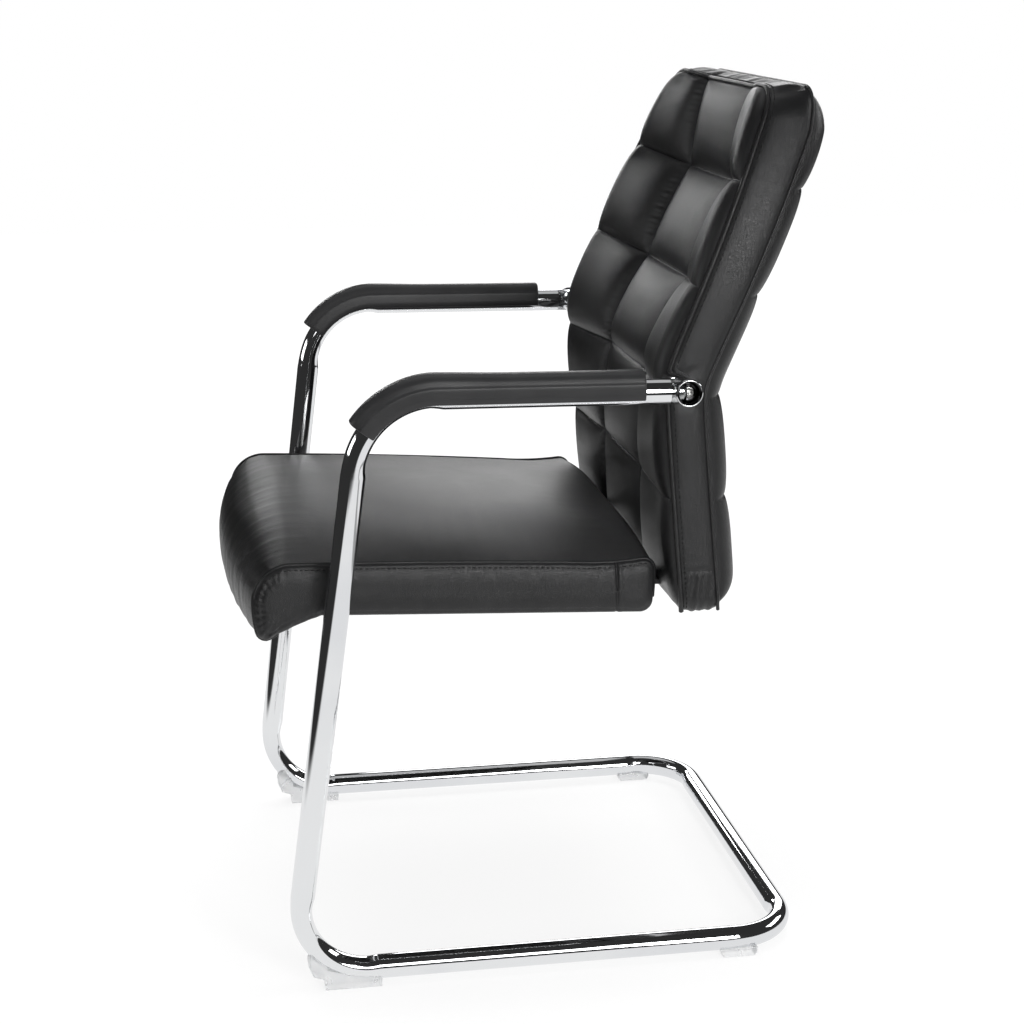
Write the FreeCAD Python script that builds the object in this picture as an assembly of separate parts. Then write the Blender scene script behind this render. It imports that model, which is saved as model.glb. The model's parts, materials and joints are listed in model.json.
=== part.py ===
import FreeCAD, Part
import math
import os

V = FreeCAD.Vector

# Cantilever visitor chair. Millimetres, +Z up, the sitter faces -Y, the sitter's left is +X.

# The origin is under the middle of the whole chair, this far behind the drawing's own zero
origin_y = 58.3

# Frame tube: one bent tube, from one arm round the floor to the other
tube_od = 25.0
tube_wall = 2.0
arm_half_width = 283.4
rail_half_width = 249.0
arm_front = V(arm_half_width, -117.0, 628.9)
arm_rear = V(arm_half_width, 200.0, 625.0)
foot_gap = 5.5
rail_height = foot_gap + tube_od / 2
rail_front_y = -196.1
rail_rear_y = 341.1
arm_bend = 80.0
foot_bend = 72.0
rear_bend = 65.0

# Arm boss and its bolt
boss_od = 27.0
boss_face_x = arm_half_width + tube_od / 2 + 1.0
boss_cup_d = 21.5
boss_cup_depth = 11.0
arm_bolt_d = 8.0
arm_bolt_head_d = 13.0
arm_bolt_head_h = 5.0

# Arm pads
pad_rear_y = 155.0
pad_bend_angle = 55.0
pad_half_width = 15.5
pad_shoulder_width = 13.5
pad_top_width = 10.5
pad_top = 20.5
pad_shoulder = 14.5
pad_skirt = -4.0
pad_screw_places = (-25.0, 105.0)

# Glides under the rails
glide_half_width = 11.0
front_glide_height = 13.5
rear_glide_height = 9.0
front_glide_y = (-164.0, -105.0)
rear_glide_y = (262.0, 296.0)

# Seat, in its own frame: t runs rearwards, n upwards from the underside
seat_tilt = -3.12
seat_underside = 392.0
seat_edge_half = 235.0
seat_edge_at = -190.0
fan_length = 6150.0
cord_d = 5.0
band_t = 6.0
band_height = 52.5
seat_front = -226.0
seat_rear = 184.0
seat_crown = 24.0
seat_bow = 23.0
lip_drop = 24.5
lip_rear = -158.0
front_roll_foot = 14.5
rear_rise_n = 57.0
rear_corner = 13.0
board_bottom = 18.0
board_top = 30.0
pocket_front = -160.0
pocket_rear = 162.0
skirt_t = 12.0

# Cross bar that carries the seat's front
bar_d = 20.0
bar_plate_t = 3.0
bar_bolt_x = 120.0

# Back, seen from the side: each seam line has a lower and an upper straight run
front_waist = (189.0, 632.7)
front_slopes = (-0.0926, 0.43)
front_waist_bend = 150.0
rear_waist = (227.8, 616.0)
rear_slopes = (-0.1, 0.455)
rear_waist_bend = 100.0
crown_z = 866.0
crown_slope = 0.2
crown_bend = 60.0
rear_skin = 3.0
back_board_t = 8.0

# Back, seen from the front
back_half_width = 238.0
back_bottom = 385.0
back_top = 907.0
slab_low = back_bottom - 40.0
slab_high = back_top + 40.0
back_shoulder = (206.0, 863.0)
back_taper_from = 700.0
back_top_corner = 44.0
back_bottom_corner = 14.0
cover_t = 3.0
back_cord_w = 4.5
row_seams = (388.0, 500.0, 606.0, 707.0, 810.0, 904.0)
front_rows = (378.0, 504.0, 607.0, 717.0, 819.0, 906.0)
front_depths = (0.5, 3.0, 17.0, 28.5, 33.0, 12.0)
front_fill = (0.8, 1.0, 1.0, 1.0, 1.0)
front_margin = 14.0
column_x = 90.0
crest_inset = 22.0
crest_seam_rise = 2.0
crest_rise = 10.0
side_tuft_rise = 3.0
middle_tuft_rise = 7.0
rear_rise = 28.0
rear_seam_rise = 22.0

# Steel that joins seat and back
bracket_x = 150.0
bracket_width = 40.0
bracket_t = 5.0
bracket_bend = 14.0
bolt_d = 6.0
bolt_head_d = 12.0
bolt_head_h = 4.0
tee_flange_d = 18.0
tee_flange_t = 1.5
tee_barrel_d = 8.0
seat_bolt_places = (60.0, 130.0)
back_bolt_heights = (450.0, 515.0)
strap_t = 4.0
strap_height = 30.0
strap_half_length = 230.0
strap_recess = 4.5
strap_reach = 31.0
weld_nut_d = 14.0
weld_nut_h = 7.0


def unit(v):
    return V(v).normalize()


def rounded_path(points, radii):
    """Lines through the points, with an arc of each radius at the inner ones."""
    edges = []
    start = points[0]
    for before, corner, after, radius in zip(points, points[1:], points[2:], radii):
        d_in = unit(corner - before)
        d_out = unit(after - corner)
        half_turn = d_in.getAngle(d_out) / 2
        reach = radius * math.tan(half_turn)
        arc_in = corner - d_in * reach
        arc_out = corner + d_out * reach
        middle = corner + unit(d_out - d_in) * (radius / math.cos(half_turn) - radius)
        edges.append(Part.LineSegment(start, arc_in).toShape())
        edges.append(Part.Arc(arc_in, middle, arc_out).toShape())
        start = arc_out
    edges.append(Part.LineSegment(start, points[-1]).toShape())
    return Part.Wire(edges)


def chain(start, *steps):
    """A closed wire: each step is an end point for a line, or (middle, end) for an arc."""
    edges = []
    at = start
    for step in steps + (start,):
        if isinstance(step, tuple):
            edges.append(Part.Arc(at, step[0], step[1]).toShape())
            at = step[1]
        elif at.distanceToPoint(step) > 1e-6:
            edges.append(Part.LineSegment(at, step).toShape())
            at = step
    return Part.Wire(edges)


def rod(radius, start, end):
    return Part.makeCylinder(radius, start.distanceToPoint(end), start, end - start)


def block(low, high):
    size = high - low
    return Part.makeBox(size.x, size.y, size.z, low)


def both_sides(shape):
    return shape, shape.mirror(V(0, 0, 0), V(1, 0, 0))


def swept_tube(path, radius):
    """A round bar along lines and arcs, with a ball where two of them meet at a slight angle."""
    pieces = []
    heading = None
    for edge in path.OrderedEdges:
        first, last = edge.FirstParameter, edge.LastParameter
        start = edge.valueAt(first)
        end = edge.valueAt(last)
        if heading and heading.getAngle(edge.tangentAt(first)) > 0.002:
            pieces.append(Part.makeSphere(radius, start))
        heading = edge.tangentAt(last)
        if edge.Curve.TypeId == "Part::GeomLine":
            pieces.append(rod(radius, start, end))
            continue
        disc = Part.Face(Part.Wire([Part.makeCircle(radius, start, edge.tangentAt(first))]))
        centre = edge.Curve.Center
        axis = (start - centre).cross(edge.valueAt((first + last) / 2) - centre)
        pieces.append(disc.revolve(centre, axis, math.degrees(edge.Length / edge.Curve.Radius)))
    return pieces[0].multiFuse(pieces[1:])


# Frame

def frame_path():
    left = [
        arm_rear,
        arm_front,
        V(rail_half_width, rail_front_y, rail_height),
        V(rail_half_width, rail_rear_y, rail_height),
    ]
    right = [V(-p.x, p.y, p.z) for p in reversed(left)]
    return rounded_path(left + right, [arm_bend, foot_bend, rear_bend, rear_bend, foot_bend, arm_bend])


def make_boss():
    """A socket across the arm's end, with a cup for the bolt head."""
    outer = V(boss_face_x, arm_rear.y, arm_rear.z)
    inner = V(back_half_width, arm_rear.y, arm_rear.z)
    cup_floor = V(boss_face_x - boss_cup_depth, arm_rear.y, arm_rear.z)
    boss = rod(boss_od / 2, inner, outer)
    boss = boss.cut(rod(boss_cup_d / 2, cup_floor, outer))
    return boss.cut(rod(arm_bolt_d / 2, inner, outer))


def make_arm_bolt():
    floor_x = boss_face_x - boss_cup_depth
    at = V(floor_x, arm_rear.y, arm_rear.z)
    head = rod(arm_bolt_head_d / 2, at, at + V(arm_bolt_head_h, 0, 0))
    outer_edge = max(head.Edges, key=lambda edge: edge.CenterOfMass.x)
    head = head.makeFillet(1.5, [outer_edge])
    socket = rod(2.5, at + V(arm_bolt_head_h - 2.5, 0, 0), at + V(arm_bolt_head_h, 0, 0))
    tip = V(strap_half_length - strap_t - weld_nut_h - 3.0, at.y, at.z)
    return head.cut(socket).fuse(rod(arm_bolt_d / 2, tip, at))


class Bend:
    """The plane that the left arm's bend lies in, measured from the arm's front corner."""

    along = unit(arm_rear - arm_front)
    down = unit(V(rail_half_width, rail_front_y, rail_height) - arm_front)
    side = unit(along.cross(down)) * -1
    up = unit(side.cross(along))
    turn = math.pi - along.getAngle(down)
    reach = arm_bend * math.tan(turn / 2)
    arc_start = arm_front + along * reach
    centre = arc_start - up * arm_bend


def pad_section(at):
    """The cap's section: a shouldered arch whose inside is the tube."""
    def place(x, z):
        return at + Bend.side * x + Bend.up * z
    w, s, t = pad_half_width, pad_shoulder_width, pad_top_width
    outline = chain(
        place(-w, pad_skirt),
        place(-w, 4.0),
        (place(-w + 0.5, 10.5), place(-s, pad_shoulder)),
        (place(-s + 1.0, 18.3), place(-t, pad_top)),
        (place(0, pad_top + 1.2), place(t, pad_top)),
        (place(s - 1.0, 18.3), place(s, pad_shoulder)),
        (place(w - 0.5, 10.5), place(w, 4.0)),
        place(w, pad_skirt),
    )
    return Part.Face(outline)


def make_arm_pad(tube_solid):
    length = (pad_rear_y - Bend.arc_start.y) / Bend.along.y
    straight = pad_section(Bend.arc_start).extrude(Bend.along * length)
    bend = pad_section(Bend.arc_start).revolve(Bend.centre, Bend.side, pad_bend_angle)
    return straight.fuse(bend).removeSplitter().cut(tube_solid)


def pad_screw_axis(y):
    return arm_front + Bend.along * ((y - arm_front.y) / Bend.along.y)


def make_pad_screws(tube_wall_solid):
    """Screws from below: the head goes in through the lower hole and seats on the upper wall."""
    screws = []
    for y in pad_screw_places:
        at = pad_screw_axis(y)
        head = rod(4.2, at + Bend.up * 4.0, at + Bend.up * tube_od / 2)
        shank = rod(2.0, at + Bend.up * 6.0, at + Bend.up * (pad_top - 3.0))
        bore = rod(tube_od / 2 - tube_wall, at - Bend.along * 8, at + Bend.along * 8)
        screws.append(head.common(bore).fuse(shank))
    return screws


def screw_holes():
    holes = []
    for y in pad_screw_places:
        at = pad_screw_axis(y)
        holes.append(rod(2.0, at, at + Bend.up * 20.0))
        holes.append(rod(5.0, at - Bend.up * 20.0, at))
    return holes


# Glides

def make_glide(y_range, height, lobed, tube_solid):
    y0, y1 = y_range
    x = rail_half_width - glide_half_width
    if lobed:
        outline = chain(
            V(x, y1, 0), V(x, y1, height), V(x, y0 + 2, height + 8),
            V(x, y0 - 4, 48), V(x, y0 - 12, 46), V(x, y0 - 17, 28), V(x, y0, 0),
        )
    else:
        outline = chain(
            V(x, y1, 0), V(x, y1 + 3, 4), V(x, y1 + 3, height),
            V(x, y0 - 3, height), V(x, y0 - 3, 4), V(x, y0, 0),
        )
    return Part.Face(outline).extrude(V(2 * glide_half_width, 0, 0)).cut(tube_solid)


# Seat

seat_place = FreeCAD.Placement(V(0, 0, seat_underside), FreeCAD.Rotation(V(1, 0, 0), seat_tilt))
fan_angle = math.degrees(math.asin(seat_edge_half / fan_length))
fan_pivot = V(0, seat_edge_at + fan_length, 0)


def seated(shape):
    """A shape drawn in the seat's frame, moved to its place in the chair."""
    moved = shape.copy()
    moved.Placement = seat_place.multiply(moved.Placement)
    return moved


def fanned(shape, share):
    """The seat narrows rearwards, so its sections turn about a far pivot."""
    turned = shape.copy()
    turned.rotate(fan_pivot, V(0, 0, 1), share * fan_angle)
    return turned


def seat_section(crown=0.0, bow=0.0, x=0.0, inset=0.0):
    """The cushion from the side: a rolled front with a lip, and a crowned top."""
    def p(t, n):
        return V(x, t, n)
    half = math.sqrt(0.5)
    top = band_height + crown - inset
    front = seat_front - bow + inset
    rear = seat_rear - inset
    rear_top = rear_rise_n + crown * 0.5 - inset
    dip_level = (rear_top * 0.56 + top * 0.44) - 1.6 + crown * 0.13
    roll = top - front_roll_foot
    corner = rear_corner - inset
    underside = inset
    return chain(
        p(rear - corner, underside),
        (p(rear - corner * (1 - half), underside + corner * (1 - half)), p(rear, underside + corner)),
        p(rear, rear_top - corner),
        (p(rear - corner * (1 - half), rear_top - corner * (1 - half)), p(rear - corner, rear_top)),
        (p(140, dip_level), p(100, top + 0.5)),
        (p(-40, top + crown * 0.1 + 1.8), p(front + roll, top)),
        (p(front + roll * (1 - half), front_roll_foot + roll * half), p(front, front_roll_foot)),
        (p(front + 1.3, -1.0), p(front + 5, -lip_drop + 6.5)),
        (p(front + 8.5, -lip_drop + 1.5 + inset * 0.7), p(front + 16 - inset, -lip_drop + inset)),
        (p((front + 16 + lip_rear) / 2, -lip_drop * 0.44 + inset), p(lip_rear, underside)),
    )


def make_seat_body():
    shares = (0.0, 0.14, 0.5, 1.0, 1.5, 1.86, 2.0)
    sections = []
    for share in shares:
        across = share - 1.0
        crown = seat_crown * (1 - abs(across) ** 2.6)
        bow = seat_bow * (1 - across ** 2)
        sections.append(fanned(seat_section(crown, bow), across))
    return Part.makeLoft(sections, True, False)


def seat_pocket():
    """The space inside the skirts: board above, brackets and bar below it."""
    half_front = seat_edge_half - skirt_t
    narrowing = seat_edge_half / fan_length
    front_x = half_front - (pocket_front - seat_edge_at) * narrowing
    rear_x = half_front - (pocket_rear - seat_edge_at) * narrowing
    low = -30.0
    plan = chain(
        V(-front_x, pocket_front, low), V(front_x, pocket_front, low),
        V(rear_x, pocket_rear, low), V(-rear_x, pocket_rear, low),
    )
    return Part.Face(plan).extrude(V(0, 0, board_top - low))


def make_seat_board():
    slab = block(V(-300, -300, board_bottom), V(300, 300, board_top))
    return seat_pocket().common(slab)


def make_base_cloth():
    slab = block(V(-300, bar_t + bar_d / 2 + 3, 0), V(300, 300, 1.5))
    return seat_pocket().common(slab)


bar_axis_n = board_bottom - bar_plate_t - bar_d / 2
bar_t = -146.0


def bar_notch():
    half = bar_d / 2 + 2
    low = V(-300, bar_t - half, -40)
    return block(low, V(300, bar_t + half, bar_axis_n + half))


def make_side_band():
    """The side panel with a rounded rim, and an inner step that the cord lies in."""
    step = Part.Face(seat_section(inset=cord_d / 2 + 1.0)).extrude(V(cord_d, 0, 0))
    rim = ((0.0, 0.0), (0.5, 0.0), (0.85, 0.9), (1.0, 2.5))
    outlines = [seat_section(x=cord_d + band_t * share, inset=inset) for share, inset in rim]
    panel = Part.makeLoft(outlines, True, True)
    return fanned(panel.fuse(step), 1.0)


def make_seat_cord():
    """A cord in the groove between cushion and side panel, from the rear round to the lip."""
    route = Part.Wire(seat_section(x=cord_d / 2, inset=1.0).Edges[2:8])
    first = route.OrderedEdges[0]
    start = first.valueAt(first.FirstParameter)
    ring = Part.Wire([Part.makeCircle(cord_d / 2, start, first.tangentAt(first.FirstParameter))])
    return fanned(route.makePipeShell([ring], True, False), 1.0)


# Back

def front_seam_y(z):
    y, waist_z = front_waist
    return y + (z - waist_z) * front_slopes[1 if z > waist_z else 0]


def rear_seam_y(z):
    y, waist_z = rear_waist
    if z < waist_z:
        return y + (z - waist_z) * rear_slopes[0]
    return y + (min(z, crown_z) - waist_z) * rear_slopes[1] + max(z - crown_z, 0) * crown_slope


def front_line(shift=0.0):
    """The front seam seen from the side: two straight runs and the waist's arc."""
    levels = (slab_low, front_waist[1], slab_high)
    return rounded_path([V(0, front_seam_y(z) + shift, z) for z in levels], [front_waist_bend])


def rear_line(shift=0.0):
    """The rear seam seen from the side, which turns more upright at the crown."""
    levels = (slab_low, rear_waist[1], crown_z, slab_high)
    bends = [rear_waist_bend, crown_bend]
    return rounded_path([V(0, rear_seam_y(z) + shift, z) for z in levels], bends)


def side_slab(a, b):
    """Everything between two seam lines, across the whole width."""
    a0, a1 = a.OrderedVertexes[0].Point, a.OrderedVertexes[-1].Point
    b0, b1 = b.OrderedVertexes[0].Point, b.OrderedVertexes[-1].Point
    ends = [Part.LineSegment(a0, b0).toShape(), Part.LineSegment(a1, b1).toShape()]
    outline = Part.Wire(Part.__sortEdges__(a.Edges + b.Edges + ends))
    face = Part.Face(outline)
    face.translate(V(-400, 0, 0))
    return face.extrude(V(800, 0, 0))


def back_outline(inset):
    """The back from the front: upright sides, tapering shoulders, rounded corners."""
    w = back_half_width - inset
    bottom = back_bottom + inset
    top = back_top - inset
    shoulder_x, shoulder_z = back_shoulder[0] - inset, back_shoulder[1]
    corner = back_top_corner - inset
    foot = max(back_bottom_corner - inset, 2.0)
    taper_mid = V(w - 9.5, 0, (back_taper_from + shoulder_z) / 2)
    k = 1 - math.sqrt(0.5)
    right = [
        Part.LineSegment(V(w, 0, bottom + foot), V(w, 0, back_taper_from)).toShape(),
        Part.Arc(V(w, 0, back_taper_from), taper_mid, V(shoulder_x, 0, shoulder_z)).toShape(),
        Part.Arc(V(shoulder_x, 0, shoulder_z), V(shoulder_x - corner * k, 0, top - corner * k * 0.9),
                 V(shoulder_x - corner, 0, top)).toShape(),
        Part.Arc(V(w, 0, bottom + foot), V(w - foot * k, 0, bottom + foot * k),
                 V(w - foot, 0, bottom)).toShape(),
    ]
    left = [e.mirror(V(0, 0, 0), V(1, 0, 0)) for e in right]
    ends = [
        Part.LineSegment(V(-shoulder_x + corner, 0, top), V(shoulder_x - corner, 0, top)).toShape(),
        Part.LineSegment(V(-w + foot, 0, bottom), V(w - foot, 0, bottom)).toShape(),
    ]
    return Part.Wire(Part.__sortEdges__(right + left + ends))


def outline_prism(inset):
    face = Part.Face(back_outline(inset))
    face.translate(V(0, 100, 0))
    return face.extrude(V(0, 400, 0))


def taper_width(z, inset):
    """A smooth half width for the pads' sections, close to the outline."""
    w = back_half_width - inset
    if z <= back_taper_from:
        return w
    share = (z - back_taper_from) / (back_shoulder[1] - back_taper_from)
    return w - (back_half_width - back_shoulder[0]) * share ** 1.8


def pillow(share):
    """How far a tuft has risen at a share of its height between two seams."""
    return (4 * share * (1 - share)) ** 0.6


def front_level(z):
    """A point on the front seam line and the directions behind it and along it."""
    turn = abs(math.atan(front_slopes[1]) - math.atan(front_slopes[0])) / 2
    change = front_slopes[1] - front_slopes[0]
    reach = 2 * front_waist_bend * (1 / math.cos(turn) - 1) / change
    d = z - front_waist[1]
    curve = math.sqrt(d * d + reach * reach)
    y = front_waist[0] + front_slopes[0] * d + change * 0.5 * (d + curve)
    along = unit(V(0, front_slopes[0] + change * 0.5 * (1 + d / curve), 1))
    return V(0, y, z), V(0, along.z, -along.y)


def tuft_section(z, depth, swell):
    """A cut square to the front seam: proud side tufts, two sunk seams and a low middle."""
    w = taper_width(z, cover_t)
    at, behind = front_level(z)
    crest = w - crest_inset
    proud = crest_seam_rise + crest_rise * swell
    side = (crest + column_x) / 2
    side_depth = (depth - proud) / 2 - 1.5 - side_tuft_rise * swell
    middle_depth = depth - 1.0 - middle_tuft_rise * swell

    def p(x, d):
        return at + behind * d + V(x, 0, 0)

    return chain(
        p(-w, 44.0),
        p(-w, 0.5),
        (p(-w + 4.5, -proud * 0.72), p(-crest, -proud)),
        (p(-side, side_depth), p(-column_x, depth)),
        (p(0, middle_depth), p(column_x, depth)),
        (p(side, side_depth), p(crest, -proud)),
        (p(w - 4.5, -proud * 0.72), p(w, 0.5)),
        p(w, 44.0),
    )


def make_top_filler():
    """Padding behind the top row's last seam, up under the border strip."""
    low, low_behind = front_level(front_rows[-1] - front_margin)
    high, high_behind = front_level(front_rows[-1] + front_margin)
    corners = [low + low_behind * 20, high + high_behind * 20, high + high_behind * 42, low + low_behind * 42]
    face = Part.Face(Part.makePolygon(corners + corners[:1]))
    face.translate(V(-back_half_width, 0, 0))
    return face.extrude(V(2 * back_half_width, 0, 0))


def make_front_tufts():
    """Five rows of three tufts, each row lofted between its two sewn seams."""
    seams = list(zip(front_rows, front_depths))
    rows = [make_top_filler()]
    for (z0, d0), (z1, d1), fill in zip(seams, seams[1:], front_fill):
        sections = []
        for share in (0.0, 0.14, 0.5, 0.86, 1.0):
            swell = fill * pillow(share)
            z = z0 + (z1 - z0) * share
            sections.append(tuft_section(z, d0 + (d1 - d0) * share - 3.0 * swell, swell))
        rows.append(Part.makeLoft(sections, True, False))
    return rows[0].multiFuse(rows[1:])


def channel_section(z, rise):
    """One level of the rear pad: drawn-in sides and a nearly flat middle."""
    w = taper_width(z, cover_t)
    y = rear_seam_y(z)
    edge = 46.0
    front = front_seam_y(z)
    return chain(
        V(-w, front, z),
        V(w, front, z),
        V(w, y, z),
        (V(w - edge * 0.25, y + rise * 0.72, z), V(w - edge, y + rise, z)),
        (V(0, y + rise + 3.0, z), V(-w + edge, y + rise, z)),
        (V(-w + edge * 0.25, y + rise * 0.72, z), V(-w, y, z)),
    )


def end_fade(z):
    """The rear pad keeps its full rise but for the top row and the very bottom."""
    if z > row_seams[-2]:
        share = (z - row_seams[-2]) / (row_seams[-1] - row_seams[-2])
        return math.sqrt(1 - share ** 3)
    return 0.35 if z == row_seams[0] else 1.0


def make_rear_channels():
    """Five rows, each lofted between its two seams, with drawn-in sides."""
    rows = []
    levels = (0.0, 0.14, 0.5, 0.86, 1.0)
    for z0, z1 in zip(row_seams, row_seams[1:]):
        sections = []
        for share in levels:
            z = z0 + (z1 - z0) * share
            rise = rear_seam_rise + (rear_rise - rear_seam_rise) * pillow(share)
            sections.append(channel_section(z, max(rise * end_fade(z), 2.0)))
        rows.append(Part.makeLoft(sections, True, False))
    return rows[0].multiFuse(rows[1:])


def make_back_band():
    ring = outline_prism(0.0).cut(outline_prism(cover_t))
    return ring.common(side_slab(front_line(), rear_line()))


def make_back_cord(line, outwards):
    """The cord on a seam: a narrow strip round the outline, just outside the band's edge."""
    ring = outline_prism(-1.0).cut(outline_prism(cover_t))
    return ring.common(side_slab(line(), line(outwards * back_cord_w)))


def make_back_board():
    board = side_slab(rear_line(-rear_skin - back_board_t), rear_line(-rear_skin))
    return outline_prism(cover_t).common(board)


# Steel inside

def make_strap():
    """A flat bar across the back, its ends bent forwards to take the arm bolts."""
    z0 = arm_rear.z - strap_height / 2
    z1 = arm_rear.z + strap_height / 2
    y0 = rear_waist[0] - rear_skin - back_board_t + strap_recess
    web = block(V(-strap_half_length, y0, z0), V(strap_half_length, y0 + strap_t, z1))
    tabs = []
    for side in (1, -1):
        x = side * (strap_half_length - strap_t / 2)
        tabs.append(block(V(x - strap_t / 2, y0 - strap_reach, z0), V(x + strap_t / 2, y0, z1)))
    strap = web.multiFuse(tabs).removeSplitter()
    hole = rod(arm_bolt_d / 2, V(-300, arm_rear.y, arm_rear.z), V(300, arm_rear.y, arm_rear.z))
    return strap.cut(hole)


def make_weld_nut():
    x = strap_half_length - strap_t
    at = V(x, arm_rear.y, arm_rear.z)
    body = rod(weld_nut_d / 2, at - V(weld_nut_h, 0, 0), at)
    return body.cut(rod(arm_bolt_d / 2, at - V(20, 0, 0), at))


def seat_point(t, n, x=0.0):
    return seat_place.multVec(V(x, t, n))


def board_front_point(z, x=0.0):
    return V(x, rear_seam_y(z) - rear_skin - back_board_t, z)


def bracket_solid(x):
    """The bracket's side view is drawn twice, inside and outside of the bend."""
    start = seat_point(40.0, board_bottom)
    leg_dir = unit(seat_point(100.0, board_bottom) - start)
    top = board_front_point(545.0)
    rise_dir = unit(top - board_front_point(420.0))
    down = V(0, leg_dir.z, -leg_dir.y)
    forward = V(0, -rise_dir.z, rise_dir.y)

    def meet(p, d, q, e):
        cross = d.y * e.z - d.z * e.y
        gap = q - p
        return p + d * ((gap.y * e.z - gap.z * e.y) / cross)

    inner = meet(start, leg_dir, top + forward * bracket_t, rise_dir)
    outer = meet(start + down * bracket_t, leg_dir, top, rise_dir)
    a = rounded_path([start, inner, top + forward * bracket_t], [bracket_bend])
    b = rounded_path([start + down * bracket_t, outer, top], [bracket_bend + bracket_t])
    ends = [
        Part.LineSegment(start, start + down * bracket_t).toShape(),
        Part.LineSegment(top, top + forward * bracket_t).toShape(),
    ]
    face = Part.Face(Part.Wire(Part.__sortEdges__(a.Edges + b.Edges + ends)))
    face.translate(V(x - bracket_width / 2, 0, 0))
    return face.extrude(V(bracket_width, 0, 0))


class Fixing:
    """A bolt through two layers into a tee nut: its seat, direction and grip."""

    def __init__(self, seat, direction, grip):
        self.seat = seat
        self.d = unit(direction)
        self.grip = grip

    def bolt(self):
        head = rod(bolt_head_d / 2, self.seat - self.d * bolt_head_h, self.seat)
        return head.fuse(rod(bolt_d / 2, self.seat, self.seat + self.d * (self.grip + tee_flange_t)))

    def tee_nut(self):
        flange_at = self.seat + self.d * self.grip
        flange = rod(tee_flange_d / 2, flange_at, flange_at + self.d * tee_flange_t)
        barrel = rod(tee_barrel_d / 2, flange_at - self.d * 7.0, flange_at)
        return flange.fuse(barrel).cut(rod(bolt_d / 2, self.seat, flange_at + self.d * 5.0))


def fixings():
    up = unit(seat_point(0, 10) - seat_point(0, 0))
    board = board_top - board_bottom
    bar = [Fixing(seat_point(bar_t, bar_axis_n - bar_d / 2, x), up, bar_d + bar_plate_t + board)
           for x in (bar_bolt_x, -bar_bolt_x)]
    seat = [Fixing(seat_point(t, board_bottom - bracket_t, x), up, bracket_t + board)
            for t in seat_bolt_places for x in (bracket_x, -bracket_x)]
    rise = unit(board_front_point(500) - board_front_point(450))
    rearwards = V(0, rise.z, -rise.y)
    board_thickness = back_board_t * rearwards.y
    grip = bracket_t + board_thickness
    back = [Fixing(board_front_point(z, x) - rearwards * bracket_t, rearwards, grip)
            for z in back_bolt_heights for x in (bracket_x, -bracket_x)]
    return bar, seat, back


def make_cross_bar(tube_solid):
    at = seat_point(bar_t, bar_axis_n)
    half = V(arm_half_width, 0, 0)
    tube = rod(bar_d / 2, at - half, at + half).cut(rod(bar_d / 2 - 1.5, at - half, at + half))
    tube = tube.cut(tube_solid)
    return max(tube.Solids, key=lambda s: s.Volume)


def make_bar_plates():
    plates = []
    for x in (bar_bolt_x, -bar_bolt_x):
        low = board_bottom - bar_plate_t
        plate = block(V(x - 25, bar_t - 18, low), V(x + 25, bar_t + 18, board_bottom))
        plates.append(seated(plate))
    return plates


def group(solids):
    return Part.makeCompound(list(solids))


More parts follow.
